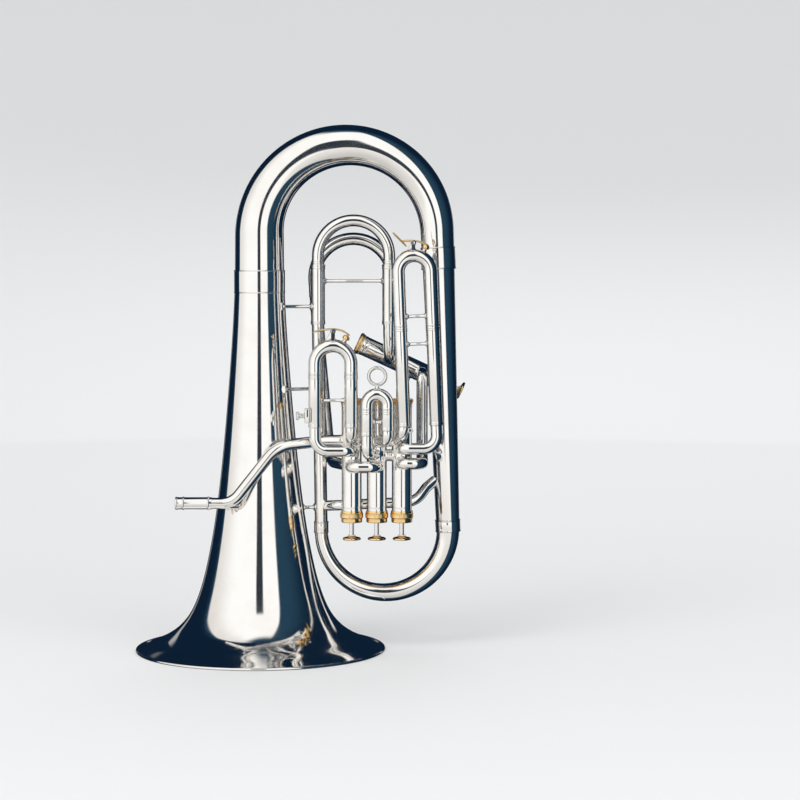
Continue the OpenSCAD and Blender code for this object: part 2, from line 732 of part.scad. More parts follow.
module bell_braces() {
  color(silver) {
    strut([28.5, -13, 420], [62.8, -1, 420], brace_r, 4.6);
    strut([31, -22, 320], [64.5, -2, 320], brace_r, 4.6);
    strut([52.4, -6, 175], [66.8, -1, 175], brace_r, 4.6);
    strut([-36, -37.5, 178], [-36, -56, 182], brace_r, 4);
  }
}

// tubular stay behind the casings, from the inner branch to the outer branch
module cluster_brace() {
  stay_r = 6.3;
  back = valve_y + casing_r + stay_r - 0.1;
  color(silver) sweep(route([[83, -2.5, 177], [94, back, 179], [190, back, 183.5], [203, -10, 200],
    [213.6, -4, 208]], [12, 24, 14]), stay_r, 0.8, 14);
}

// the lyre's shank stands at lyre_c, in a block hollowed to fit the first slide's left sleeve
lyre_c = [60.9, slide_y - 6, 290.9];
lyre_face_x = 57.5;
lyre_neck_r = 2.6;

module lyre_socket() {
  block = [6.8, 10, 17];
  boss_h = 1.2;
  color(silver) difference() {
    union() {
      translate([lyre_face_x, lyre_c[1] - 3.6, lyre_c[2] - block[2]/2]) cube(block);
      translate([lyre_face_x - boss_h, lyre_c[1], lyre_c[2]]) rotate([0, 90, 0]) cylinder(h = 2, r = 3.2);
    }
    translate(lyre_c - [0, 0, block[2]]) cylinder(h = 2*block[2], r = lyre_bore_r);
    translate([lyre_face_x - 2*boss_h, lyre_c[1], lyre_c[2]]) rotate([0, 90, 0]) cylinder(h = 5, r = 1.6);
    translate([slide1[0] - slide1[3], slide_y, lyre_c[2] - block[2]])
      cylinder(h = 2*block[2], r = slide_r - 0.05);
  }
}

module lyre_screw() {
  tip = [lyre_c[0] - lyre_bore_r - 0.5, lyre_c[1], lyre_c[2]];
  shoulder = [lyre_face_x - 1.5, lyre_c[1], lyre_c[2]];
  head = shoulder - [5, 0, 0];
  color(silver) {
    rod(shoulder - [1, 0, 0], tip, 1.5);
    rod(head - [0.1, 0, 0], shoulder, lyre_neck_r);
    rod(head - [3.7, 0, 0], head, 4.9);
  }
}

// ---- water keys: a lever on a hinge pin, with a pad cup over a nipple on the crook ----

nipple_angle = 27;
nipple_h = 3.2;
pad_gap = 0.35;
cup_h = 5;

// point over a slide's bend, at height h above its outside and at the nipple's angle
function over_bend(s, h) =
  let (r = s[3] + slide_r + h) from_slide(s, r*sin(nipple_angle), r*cos(nipple_angle));

module water_key(s, pivot, touch) {
  cup = over_bend(s, nipple_h + pad_gap);
  crown = over_bend(s, nipple_h + pad_gap + cup_h - 1);
  color(gold) {
    difference() {
      union() {
        translate(pivot - [0, 4, 0]) rotate([-90, 0, 0]) cylinder(h = 8, r = 2.6);
        rod(pivot, crown, 1.4);
        rod(pivot, touch, 1.4);
      }
      translate(pivot - [0, 6, 0]) rotate([-90, 0, 0]) cylinder(h = 12, r = key_pin_r + 0.06);
    }
    aim(cup, crown) cylinder(h = cup_h, r = 4.3);
  }
}

// flat touch plate, half of its length to each side of c, leaning by tilt
module touch_plate(c, half, tilt) {
  color(gold) translate(c) rotate([0, tilt, 0]) {
    translate([-half + 4, -4, -0.8]) cube([2*half - 8, 8, 1.6]);
    for (x = [-half + 4, half - 4]) translate([x, 0, -0.8]) cylinder(h = 1.6, r = 4);
  }
}

// two cheeks and the hinge pin on a foot, and the nipple beside them
module key_saddle(s, pivot, base_z) {
  sink = 0.4;
  color(silver) {
    for (y = [-6, 4.3]) {
      translate(pivot + [-2.2, y, base_z]) cube([4.4, 1.7, -base_z]);
      translate(pivot + [0, y, 0]) rotate([-90, 0, 0]) cylinder(h = 1.7, r = 3.2);
    }
    translate(pivot + [-2.2, -6, base_z]) cube([4.4, 12, 1.6]);
    translate(pivot - [0, 6.4, 0]) rotate([-90, 0, 0]) cylinder(h = 12.8, r = key_pin_r);
    aim(over_bend(s, -sink), over_bend(s, nipple_h)) ring(2.6, 1.4, nipple_h + sink);
  }
}

key1_pivot = [slide1[0], slide_y, 391.2];
key1_touch = key1_pivot + [-18, 0, 0.6];
key3_pivot = from_slide(slide3, 0, 34);
key3_touch = key3_pivot + [-16.2, 0, 4];

module water_key_1() {
  water_key(slide1, key1_pivot, key1_touch);
  touch_plate(key1_touch, 7, 2);
}

module water_key_3() {
  water_key(slide3, key3_pivot, key3_touch + [3, 0, -2]);
  touch_plate(key3_touch, 11.6, 45);
}

module key_saddle_1() { key_saddle(slide1, key1_pivot, -9.8); }
module key_saddle_3() { key_saddle(slide3, key3_pivot, -7.5); }

module finger_ring() {
  hoop = 10.15;
  neck = 2.1;
  top = [slide2[0], slide_y, slide2[2] + slide2[3] + slide_r];
  color(silver) {
    translate(top + [0, 0, neck + hoop + ring_wire_r]) rotate([90, 0, 0])
      rotate_extrude() translate([hoop, 0]) circle(r = ring_wire_r, $fn = 24);
    translate(top - [0, 0, 0.1]) cylinder(h = neck + 1, r = 2.3);
  }
}

bell();
bell_rim();
bell_ferrule();
large_bow();
bow_ferrule();
outer_branch();
small_bow();
small_bow_ferrules();
inner_branch();
leadpipe();
mouthpiece_receiver();
casing_1();
casing_2();
casing_3();
casing_4();
top_cap_1();
top_cap_2();
top_cap_3();
top_cap_4();
bottom_cap_1();
bottom_cap_2();
bottom_cap_3();
bottom_cap_4();
piston_1();
piston_2();
piston_3();
piston_4();
button_1();
button_2();
button_3();
button_4();
valve_spring_1();
valve_spring_2();
valve_spring_3();
valve_spring_4();
main_slide_sleeves();
main_slide_crook();
main_slide_elbow();
slide_1_sleeves();
slide_2_sleeves();
slide_3_sleeves();
slide_4_sleeves();
slide_1_crook();
slide_2_crook();
slide_3_crook();
slide_4_crook();
slide_goosenecks();
slide_4_pipes();
comp_loops();
valve_knuckle();
valve_links();
bell_braces();
cluster_brace();
lyre_socket();
lyre_screw();
water_key_1();
water_key_3();
key_saddle_1();
key_saddle_3();
finger_ring();
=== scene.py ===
"""Euphonium standing on its bell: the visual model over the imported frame."""
from math import ceil, copysign, cos, degrees, pi, radians, sin, sqrt, tan

import bmesh
import bpy
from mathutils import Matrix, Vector


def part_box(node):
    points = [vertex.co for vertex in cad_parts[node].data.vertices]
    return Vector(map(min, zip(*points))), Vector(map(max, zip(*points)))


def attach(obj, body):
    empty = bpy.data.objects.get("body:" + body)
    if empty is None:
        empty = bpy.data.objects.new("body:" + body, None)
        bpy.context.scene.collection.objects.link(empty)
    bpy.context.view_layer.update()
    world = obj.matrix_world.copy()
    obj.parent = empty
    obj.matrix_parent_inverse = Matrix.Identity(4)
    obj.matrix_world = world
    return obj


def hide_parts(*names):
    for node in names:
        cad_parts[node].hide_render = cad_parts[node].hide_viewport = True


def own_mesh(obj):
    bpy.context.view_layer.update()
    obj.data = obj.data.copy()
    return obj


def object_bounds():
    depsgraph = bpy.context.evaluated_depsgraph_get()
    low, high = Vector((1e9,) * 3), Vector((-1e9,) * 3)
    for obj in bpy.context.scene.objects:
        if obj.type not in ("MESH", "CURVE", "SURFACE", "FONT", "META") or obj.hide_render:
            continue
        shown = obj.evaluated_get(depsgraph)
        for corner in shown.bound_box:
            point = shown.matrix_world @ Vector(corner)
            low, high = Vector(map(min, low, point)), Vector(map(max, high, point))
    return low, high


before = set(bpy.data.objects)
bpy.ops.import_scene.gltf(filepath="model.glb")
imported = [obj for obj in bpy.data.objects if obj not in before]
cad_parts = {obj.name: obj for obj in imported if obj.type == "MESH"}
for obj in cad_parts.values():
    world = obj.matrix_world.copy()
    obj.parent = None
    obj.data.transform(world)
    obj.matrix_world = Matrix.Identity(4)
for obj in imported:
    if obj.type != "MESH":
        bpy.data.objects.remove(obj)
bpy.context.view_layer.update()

MM = 0.001  # lengths below are in millimetres and turn into metres in mesh()

# ---- design values ----

WALL = 0.6
LARGE_BOW_R = 108
LARGE_BOW_Z = 507.5
BRANCH_TILT = radians(2.4)
SMALL_BOW_R = 77.5
SMALL_BOW_C = Vector((152, 0, 147.5))
VALVES = (1, 2, 3, 4)
VALVE_X = [112.6, 142.8, 173.0]
VALVE_Y = -38
SLIDE_Y = -66
ROW = [259, 243.5, 228]
SLIDE_1_RIGHT_Z, SLIDE_1_LEFT_Z = 262.6, 248.4
SLIDE_3_LEFT_Z, SLIDE_3_RIGHT_Z = 265.4, 251.2
LINK_Z, KNUCKLE_Z, CROSS_Z = 233, 229, 241.5
CASING_R = 12
CASING_BORE_R = 11.4
CASING_LEN = 131.4
CASING_TOP_Z = 171.6
CASING_4_LEN = 103
STUB = 15.4
PORT_REACH = STUB - 0.6
KNUCKLE_R = 6.9
TUBE_WALL = 0.5
CAP_H = 12
STROKE = 14.5
BUTTON_GAP = STROKE + 1
PISTON_START = 4
PISTON_LEN = 96
PISTON_4_LEN = 73
CAP_FLOOR = 4.1  # depth inside a bottom cap, where the spring stands
SLIDE_R = 7.75
SLEEVE_BORE_R = SLIDE_R - TUBE_WALL
LEG_R = SLEEVE_BORE_R - 0.05
MAIN_X = 71
MAIN_HALF = 43.4
MAIN_RIGHT_X = MAIN_X + 2 * MAIN_HALF
MAIN_ARC_Z = 481
MAIN_JOINT_Z = 471
MAIN_FOOT_Z = 398
MAIN_SLEEVE_R = 8.5
MAIN_CROOK_R = 7.3
MAIN_DROP = 9.4  # from the centre of the crook's bend down to its ends
VALVE_4_TILT = radians(24.8)
VALVE_4_DIR = Vector((cos(VALVE_4_TILT), 0, -sin(VALVE_4_TILT)))
VALVE_4_UP = Vector((sin(VALVE_4_TILT), 0, cos(VALVE_4_TILT)))
VALVE_4_BASE = Vector((124.2, 34, 372.3))
MAIN_PORT_S = (MAIN_RIGHT_X - VALVE_4_BASE.x) / VALVE_4_DIR.x
RETURN_PORT_S = 64
LINK_PORT_S = 81

X, Y, Z = Vector((1, 0, 0)), Vector((0, 1, 0)), Vector((0, 0, 1))

BELL_STATIONS = [
    (1.2, 150.2), (3.2, 145.5), (8, 135), (16, 117.5), (28, 100.3), (45, 86.2), (70, 75),
    (105, 65.4), (160, 55.2), (230, 46.4), (310, 39), (390, 33), (450, 29.9),
]


class Slide:
    """One valve slide, in its own frame: the bend's centre at zero, the legs running down."""

    def __init__(self, x, y, bend_z, half, tilt, joint_z, left_z, right_z, inner_leg):
        self.origin = Vector((x, y, bend_z))
        self.half = half
        self.tilt = radians(tilt)
        self.joint = joint_z - bend_z
        self.feet = {-1: left_z - bend_z, 1: right_z - bend_z}
        self.inner_leg = inner_leg
        self.up = Vector((-sin(self.tilt), 0, cos(self.tilt)))
        self.out = Vector((cos(self.tilt), 0, sin(self.tilt)))

    def at(self, x, z, y=0):
        return self.origin + self.out * x + self.up * z + Y * y

    def foot(self, side):
        return self.at(side * self.half, self.feet[side])


SLIDES = {
    1: Slide(VALVE_X[0] - 21.4, SLIDE_Y, 352.5, 21.4, 0, 339, 276, 276, 50),
    2: Slide(VALVE_X[1] + 1, SLIDE_Y, 303.5, 12.2, 0, 297, 266, 272, 19),
    3: Slide(187.9, SLIDE_Y, 461.8, 19, 2.2, 396, 278, 278, 92),
    4: Slide(113.4, 34, 455, 48, 4.3, 440, 372, 392, 42),
}

# ---- materials ----


def nodes_of(name, color, metallic, roughness):
    material = bpy.data.materials.new(name)
    material.use_nodes = True
    shader = material.node_tree.nodes["Principled BSDF"]
    shader.inputs["Base Color"].default_value = (*color, 1)
    shader.inputs["Metallic"].default_value = metallic
    shader.inputs["Roughness"].default_value = roughness
    return material, material.node_tree, shader


def add(tree, kind, **values):
    node = tree.nodes.new("ShaderNode" + kind)
    for key, value in values.items():
        if key in node.inputs:
            node.inputs[key].default_value = value
        else:
            setattr(node, key, value)
    return node


def object_noise(tree, scale, detail, stretch=(1, 1, 1)):
    """Noise in the object's own space; scale is in repeats per metre."""
    coords = add(tree, "TexCoord")
    mapping = add(tree, "Mapping")
    mapping.inputs["Scale"].default_value = stretch
    noise = add(tree, "TexNoise", Scale=scale, Detail=detail)
    tree.links.new(coords.outputs["Object"], mapping.inputs["Vector"])
    tree.links.new(mapping.outputs["Vector"], noise.inputs["Vector"])
    return noise.outputs["Fac"]


def spread(tree, value, low, high, start=0.35, end=0.65):
    remap = add(tree, "MapRange")
    for key, number in (("From Min", start), ("From Max", end), ("To Min", low), ("To Max", high)):
        remap.inputs[key].default_value = number
    tree.links.new(value, remap.inputs["Value"])
    return remap.outputs["Result"]


def two_tone(tree, value, first, second, start=0.4, end=0.62):
    ramp = add(tree, "ValToRGB")
    ramp.color_ramp.elements[0].position = start
    ramp.color_ramp.elements[0].color = (*first, 1)
    ramp.color_ramp.elements[1].position = end
    ramp.color_ramp.elements[1].color = (*second, 1)
    tree.links.new(value, ramp.inputs["Fac"])
    return ramp.outputs["Color"]


def bump(tree, shader, value, strength, depth):
    node = add(tree, "Bump", Strength=strength, Distance=depth)
    tree.links.new(value, node.inputs["Height"])
    tree.links.new(node.outputs["Normal"], shader.inputs["Normal"])


def plated(name, bright, worn, smooth, hazy):
    """Polished plate: cloudy handling marks in the gloss and faint buffing ripples."""
    material, tree, shader = nodes_of(name, bright, 1, smooth)
    haze = object_noise(tree, 28, 5)
    color = two_tone(tree, haze, bright, worn, 0.45, 0.75)
    tree.links.new(color, shader.inputs["Base Color"])
    tree.links.new(spread(tree, haze, smooth, hazy), shader.inputs["Roughness"])
    bump(tree, shader, object_noise(tree, 1400, 3, (1, 1, 0.08)), 0.04, 0.00004)
    return material


def lapped(name, color, dark, rough, rougher, stretch):
    """Ground metal with fine lines across its stretch."""
    material, tree, shader = nodes_of(name, color, 1, rough)
    lines = object_noise(tree, 900, 4, stretch)
    tree.links.new(two_tone(tree, lines, dark, color), shader.inputs["Base Color"])
    tree.links.new(spread(tree, lines, rough, rougher), shader.inputs["Roughness"])
    bump(tree, shader, lines, 0.15, 0.00003)
    return material


def fibrous(name, color, dark, scale, depth, rough):
    """Felt or cork: dull, mottled and slightly rough to the touch."""
    material, tree, shader = nodes_of(name, color, 0, rough)
    grain = object_noise(tree, scale, 8)
    tree.links.new(two_tone(tree, grain, dark, color, 0.35, 0.6), shader.inputs["Base Color"])
    bump(tree, shader, grain, 0.8, depth)
    return material


SILVER = plated("silver_plate", (0.955, 0.94, 0.915), (0.90, 0.875, 0.84), 0.045, 0.10)
GOLD = plated("gold_plate", (1.0, 0.72, 0.36), (0.96, 0.63, 0.27), 0.10, 0.20)
INNER = plated("nickel_slide_leg", (0.80, 0.78, 0.73), (0.70, 0.67, 0.62), 0.12, 0.24)
PISTON = lapped("valve_alloy", (0.66, 0.64, 0.60), (0.50, 0.48, 0.45), 0.18, 0.34, (0.1, 0.1, 1))
SPRING = lapped("spring_steel", (0.60, 0.60, 0.62), (0.42, 0.42, 0.44), 0.22, 0.40, (1, 1, 1))
CORK = fibrous("cork", (0.58, 0.38, 0.20), (0.30, 0.17, 0.08), 1500, 0.0002, 0.85)
FELT = fibrous("felt", (0.82, 0.79, 0.72), (0.62, 0.58, 0.50), 2600, 0.0003, 0.95)

# ---- mesh building ----


class Shape:
    """Collects vertices and faces, in millimetres, of one piece."""

    def __init__(self):
        self.points = []
        self.faces = []

    def grid(self, rings, closed_round=True, closed_along=False):
        """Faces between successive rings of points."""
        start = len(self.points)
        count = len(rings[0])
        for ring in rings:
            self.points.extend(ring)
        rows = len(rings) if closed_along else len(rings) - 1
        columns = count if closed_round else count - 1
        for i in range(rows):
            a, b = start + i * count, start + (i + 1) % len(rings) * count
            for k in range(columns):
                j = (k + 1) % count
                self.faces.append((a + k, a + j, b + j, b + k))
        return self

    def cap(self, ring, flip=False):
        start = len(self.points)
        self.points.extend(ring)
        order = list(range(start, start + len(ring)))
        self.faces.append(order[::-1] if flip else order)
        return self


def placed(name, data):
    """A new object of the scene."""
    piece = bpy.data.objects.new(name, data)
    bpy.context.scene.collection.objects.link(piece)
    return piece


def mesh(name, shape, material, body="horn", replaces=(), sharp=38):
    data = bpy.data.meshes.new(name)
    data.from_pydata([Vector(p) * MM for p in shape.points], [], shape.faces)
    data.validate()
    data.polygons.foreach_set("use_smooth", [True] * len(data.polygons))
    piece = placed(name, data)
    weld(data)
    data.set_sharp_from_angle(angle=radians(sharp))
    data.materials.append(material)
    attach(piece, body)
    if replaces:
        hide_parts(*replaces)
    return piece


def silver(name, shape, node):
    """A plated piece of the horn's body, in place of a CAD node."""
    return mesh(name, shape, SILVER, replaces=[node])


def weld(data):
    """Joins doubled points and turns the faces outward."""
    work = bmesh.new()
    work.from_mesh(data)
    bmesh.ops.remove_doubles(work, verts=work.verts, dist=0.002 * MM)
    bmesh.ops.recalc_face_normals(work, faces=work.faces)
    work.to_mesh(data)
    work.free()


def unit(v):
    return v.normalized()


def bend_points(a, b, c, r, step=5):
    """Points along a bend of radius r at corner b, every few degrees."""
    u, w = unit(b - a), unit(c - b)
    turn = u.angle(w)
    side = unit(w - u * u.dot(w))
    start = b - u * r * tan(turn / 2)
    steps = max(3, ceil(degrees(turn) / step))
    return [start + side * r * (1 - cos(turn * k / steps)) + u * r * sin(turn * k / steps)
            for k in range(steps + 1)]


def route(points, radii):
    """A line through corners, each rounded by its radius."""
    points = [Vector(p) for p in points]
    line = [points[0]]
    for i, r in enumerate(radii, start=1):
        line += bend_points(points[i - 1], points[i], points[i + 1], r)
    return line + [points[-1]]


def arc(center, out, up, r, start, end, steps):
    """Points on an arc in the plane of out and up, from start to end degrees."""
    angles = [radians(start + (end - start) * k / steps) for k in range(steps + 1)]
    return [center + out * r * cos(s) + up * r * sin(s) for s in angles]


def straight(a, b, most=30):
    """Evenly spaced points from a to b."""
    a, b = Vector(a), Vector(b)
    steps = max(1, ceil((b - a).length / most))
    return [a.lerp(b, k / steps) for k in range(steps + 1)]


def tidy(line):
    """The line without repeated points."""
    kept = [line[0]]
    for p in line[1:]:
        if (p - kept[-1]).length > 0.02:
            kept.append(p)
    return kept


def frames(line):
    """Tangent and two side vectors at each point, carried along without twist."""
    count = len(line)
    tangents = []
    for i in range(count):
        before = unit(line[i] - line[i - 1]) if i else unit(line[1] - line[0])
        after = unit(line[i + 1] - line[i]) if i < count - 1 else before
        tangents.append(unit(before + after))
    side = Y if abs(tangents[0].y) < 0.9 else X
    result = []
    for t in tangents:
        side = unit(side - t * side.dot(t))
        result.append((t, side, t.cross(side)))
    return result


def around(sides):
    """The angles of a full turn."""
    return [2 * pi * k / sides for k in range(sides)]


def oval_ring(center, side, other, w, h, sides):
    return [center + side * w * cos(s) + other * h * sin(s) for s in around(sides)]


def round_ring(center, side, other, r, sides):
    return oval_ring(center, side, other, r, r, sides)


def solid(shape, rings, flip=False):
    """A closed piece through rings, capped at both ends."""
    shape.grid(rings)
    shape.cap(rings[0], flip=not flip)
    return shape.cap(rings[-1], flip=flip)


def wire(line, r, sides):
    return solid(Shape(), [round_ring(p, u, v, r, sides) for p, (_, u, v) in zip(line, frames(line))])


def tube(shape, line, radii, wall=WALL, sides=40):
    """A tube with a wall; radii is one radius, one per point, or the first and last of a taper."""
    line = tidy(line)
    count = len(line)
    if not isinstance(radii, (list, tuple)):
        radii = [radii] * count
    lengths = [0]
    for a, b in zip(line, line[1:]):
        lengths.append(lengths[-1] + (b - a).length)
    if len(radii) != count:
        radii = [radii[0] + (radii[-1] - radii[0]) * s / lengths[-1] for s in lengths]
    axes = frames(line)
    outer = [round_ring(p, u, v, r, sides) for p, (_, u, v), r in zip(line, axes, radii)]
    inner = [round_ring(p, u, v, r - wall, sides) for p, (_, u, v), r in zip(line, axes, radii)]
    return shape.grid(outer + inner[::-1], closed_along=True)


def pipe(shape, points, bends):
    """A tube of the valves' own bore through points, rounded by bends."""
    return tube(shape, route(points, bends), KNUCKLE_R, TUBE_WALL)


def lathe(shape, base, axis, profile, sides=64, ring=False, radius_at=None):
    """Turns (radius, height) points about an axis through base. ring closes the outline."""
    base, axis = Vector(base), unit(Vector(axis))
    side = unit(axis.cross(Y if abs(axis.y) < 0.9 else X))
    other = axis.cross(side)
    rings = []
    for r, h in profile:
        turn = []
        for s in around(sides):
            reach = radius_at(r, h, s) if radius_at else r
            turn.append(base + axis * h + (side * cos(s) + other * sin(s)) * max(reach, 0.0))
        rings.append(turn)
    return shape.grid(rings, closed_along=ring)


def turned(*outline, **how):
    """A new piece, turned as in lathe()."""
    return lathe(Shape(), *outline, **how)


def rounded(corners, default=0.3, steps=4, closed=False):
    """An outline with its corners rounded. A corner is (r, h) or (r, h, rounding)."""
    result = []
    count = len(corners)
    for i, corner in enumerate(corners):
        here = Vector(corner[:2])
        size = corner[2] if len(corner) > 2 else default
        if not closed and i in (0, count - 1) or size == 0:
            result.append(tuple(here))
            continue
        before, after = Vector(corners[i - 1][:2]), Vector(corners[(i + 1) % count][:2])
        size = min(size, (before - here).length * 0.49, (after - here).length * 0.49)
        start, end = here + unit(before - here) * size, here + unit(after - here) * size
        for k in range(steps + 1):
            t = k / steps
            result.append(tuple(start * (1 - t) ** 2 + here * 2 * t * (1 - t) + end * t * t))
    return result


def bead(r, lip, low, height):
    """The outline of a raised line that runs round a tube."""
    return [(r + lip * sin(pi * k / 8), low + height * k / 8) for k in range(9)]


def collar(shape, base, axis, r_in, r_out, length, lip=0.5, beads=2, sides=64):
    """A ferrule: a thin band with a rounded bead near each end."""
    profile = [(r_in, 0), (r_out, 0.15)]
    places = [1.4, length - 1.4] if beads == 2 else [length - 1.4]
    for place in places:
        profile.append((r_out, place - 1.0))
        profile += bead(r_out, lip, place - 0.9, 1.8)
        profile.append((r_out, place + 1.0))
    profile += [(r_out, length - 0.15), (r_in, length)]
    return lathe(shape, base, axis, profile, sides, ring=True)


def torus(shape, center, axis, ring_r, wire_r, sides, wire_sides):
    profile = [(ring_r + wire_r * cos(s), wire_r * sin(s)) for s in around(wire_sides)]
    return lathe(shape, center, axis, profile, sides, ring=True)


def strut(shape, a, b, r, foot_r, sides=28):
    """A brace rod that swells into a round flange at each end."""
    a, b = Vector(a), Vector(b)
    length = (b - a).length
    end = [(0, 0), (foot_r, 0), (foot_r, 0.8), (foot_r * 0.93, 1.15), (r * 1.35, 1.7), (r, 3.4)]
    profile = end + [(p, length - q) for p, q in end[::-1]]
    return lathe(shape, a, b - a, profile, sides)


def spline(stations, i, t):
    """Height and radius between stations i and i + 1, smooth through them."""
    a, b = stations[max(i - 1, 0)], stations[i]
    c, d = stations[i + 1], stations[min(i + 2, len(stations) - 1)]
    h = c[0] - b[0]
    s1 = (c[1] - a[1]) / max(c[0] - a[0], 0.01)
    s2 = (d[1] - b[1]) / max(d[0] - b[0], 0.01)
    r = (b[1] * (2 * t ** 3 - 3 * t * t + 1) + c[1] * (3 * t * t - 2 * t ** 3)
         + h * s1 * (t ** 3 - 2 * t * t + t) + h * s2 * (t ** 3 - t * t))
    return b[0] + t * h, r

# ---- bell, bows and branches ----


def bell():
    outline = []
    for i in range(len(BELL_STATIONS) - 1):
        outline += [spline(BELL_STATIONS, i, k / 8) for k in range(8)]
    outline.append(BELL_STATIONS[-1])
    inside = []
    for i, (h, r) in enumerate(outline):
        before, after = outline[max(i - 1, 0)], outline[min(i + 1, len(outline) - 1)]
        slope = Vector((after[0] - before[0], after[1] - before[1])).normalized()
        inside.append((h + WALL * slope.y, r - WALL * slope.x))
    profile = [(r, h) for h, r in outline] + [(r, h) for h, r in inside[::-1]]
    silver("bell_body", turned((0, 0, 0), Z, profile, 224, ring=True), "bell")


def bell_rim():
    """The rolled wire edge, with the narrow land that it stands on."""
    low, high = [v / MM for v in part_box("bell_rim")]
    wire_r = 1.8
    flat = (high.z - low.z) / 2
    profile = []
    for s in around(28):
        lift = max(-flat, min(flat, wire_r * sin(s)))
        profile.append((high.x - wire_r + wire_r * cos(s), flat + lift))
    silver("rolled_rim", turned((0, 0, 0), Z, profile, 224, ring=True), "bell_rim")


def ferrule_band(name, base, axis, r, length, node, inner, edge=0.45):
    """A wide flat ferrule with a bead and a fine line at each edge."""
    profile = [(inner, 0), *bead(r, edge, 0.1, 1.5), (r, 1.7), (r - 0.08, 2.3), (r, 2.9)]
    profile += [(r, length - 2.9), (r - 0.08, length - 2.3), (r, length - 1.7)]
    profile += [*bead(r, edge, length - 1.6, 1.5), (inner, length)]
    shape = turned(base, axis, profile, 128, ring=True)
    mesh(name, shape, SILVER, replaces=[node] if node else ())


def bows():
    branch_dir = Vector((sin(BRANCH_TILT), 0, -cos(BRANCH_TILT)))
    reach = LARGE_BOW_R * (1 + cos(BRANCH_TILT))
    branch_top = Vector((reach, 0, LARGE_BOW_Z + LARGE_BOW_R * sin(BRANCH_TILT))) + 33 * branch_dir
    low_out = Vector((cos(BRANCH_TILT), 0, sin(BRANCH_TILT)))
    branch_low = SMALL_BOW_C + SMALL_BOW_R * low_out

    center = Vector((LARGE_BOW_R, 0, LARGE_BOW_Z))
    bend = arc(center, -X, Z, LARGE_BOW_R, 0, 180 - degrees(BRANCH_TILT), 88)
    line = [Vector((0, 0, 450.2))] + bend + [branch_top - 0.2 * branch_dir]
    # the taper follows the stations of the bend, with its straight ends as one station each
    stations = 24
    radii = []
    for i in range(len(line)):
        t = 0 if i == 0 else 1 if i == len(line) - 1 else (1 + 22 * (i - 1) / 88) / stations
        radii.append(30 + (19.8 - 30) * t ** 0.92)
    silver("large_bow_tube", tube(Shape(), line, radii, WALL, 96), "large_bow")

    ferrule_band("bell_joint_ferrule", (0, 0, 436), Z, 30.9, 28, "bell_ferrule", 30.3)
    ferrule_band("bow_joint_ferrule", branch_top - 13 * branch_dir, branch_dir, 20.9, 27,
                 "bow_ferrule", 20.35)

    taper = tube(Shape(), straight(branch_top, branch_low - 0.2 * branch_dir), [19.6, 14.25], WALL, 96)
    silver("outer_branch_tube", taper, "outer_branch")

    small = arc(SMALL_BOW_C, X, -Z, SMALL_BOW_R, -degrees(BRANCH_TILT), 180, 80)
    silver("small_bow_tube", tube(Shape(), small, [14.1, 7.9], WALL, 72), "small_bow")

    foot = SMALL_BOW_C - SMALL_BOW_R * X
    ferrule_band("small_bow_large_ferrule", branch_low - 9 * branch_dir, branch_dir, 15.2, 15,
                 "small_bow_ferrules", 14.55)
    ferrule_band("small_bow_small_ferrule", foot - 4 * Z, Z, 8.8, 14, None, 8.1)

    inner = tube(Shape(), straight(foot + 0.2 * Z, (MAIN_X, 0, MAIN_FOOT_Z)), [7.9, 7.6], TUBE_WALL, 48)
    silver("inner_branch_tube", inner, "inner_branch")


# ---- leadpipe ----

RECEIVER_MOUTH = Vector((-97.4, -62, 185.8))
RECEIVER_LEN = 38


def leadpipe():
    start = RECEIVER_MOUTH + RECEIVER_LEN * X
    line = route([start, (-29.5, -61.5, 185.8), (24, -57, 254), (80, VALVE_Y - 2, ROW[0]),
                  (VALVE_X[0] - STUB + 0.6, VALVE_Y, ROW[0])], [26, 42, 22])
    shape = tube(Shape(), line, [6.6, KNUCKLE_R + 0.05], TUBE_WALL, 48)
    silver("leadpipe_tube", shape, "leadpipe")


def receiver():
    """The barrel that takes the mouthpiece, with a flange and a thin collar."""
    outline = [(7.0, 0, 0.3), (7.5, 0.25, 0.4), (7.75, 1.0, 0.5), (7.7, 2.0, 0.6), (7.3, 2.6, 0.6),
               (7.2, 8.3, 0.3), (7.75, 8.65, 0.2), (8.05, 9.0, 0.2), (8.05, 9.9, 0.2), (7.75, 10.25, 0.2),
               (7.2, 10.6, 0.3), (7.25, 38.3, 0.3), (7.8, 38.65, 0.2), (8.1, 39.0, 0.2), (8.1, 39.8, 0.2),
               (7.8, 40.15, 0.2), (7.25, 40.5, 0.3), (7.2, 43.9, 0.2)]
    profile = [(6.6, 0.6)] + rounded(outline, 0.3, 6) + [(6.75, 44), (6.75, 38), (5.2, 37.6), (5.2, 30),
                                                        (6.6, 29.6)]
    barrel = turned(RECEIVER_MOUTH, X, profile, 72, ring=True)
    silver("receiver_barrel", barrel, "mouthpiece_receiver")


# ---- valves ----


def stub(shape, center, axis, out, reach):
    """A port tube that flares into a solder fillet on the casing and ends in a small ferrule."""
    r, sides = KNUCKLE_R, 40
    across = axis.cross(out)
    rings = []
    for width, lift in ((r + 1.5, 0.02), (r + 0.75, 0.25), (r + 0.3, 0.7), (r + 0.05, 1.4)):
        ring = []
        for s in around(sides):
            wall = sqrt(CASING_R ** 2 - (width * sin(s)) ** 2)
            far = min(wall + lift, reach - 2.9)
            ring.append(center + out * far + (axis * cos(s) + across * sin(s)) * width)
        rings.append(ring)
    for width, far in ((r, reach - 2.6), (r, reach - 2.3), (r + 0.2, reach - 2.1), (r + 0.35, reach - 1.1),
                       (r + 0.2, reach - 0.1), (r, reach), (r - TUBE_WALL, reach),
                       (r - TUBE_WALL, reach - 3)):
        rings.append([center + out * far + (axis * cos(s) + across * sin(s)) * width
                      for s in around(sides)])
    return shape.grid(rings)


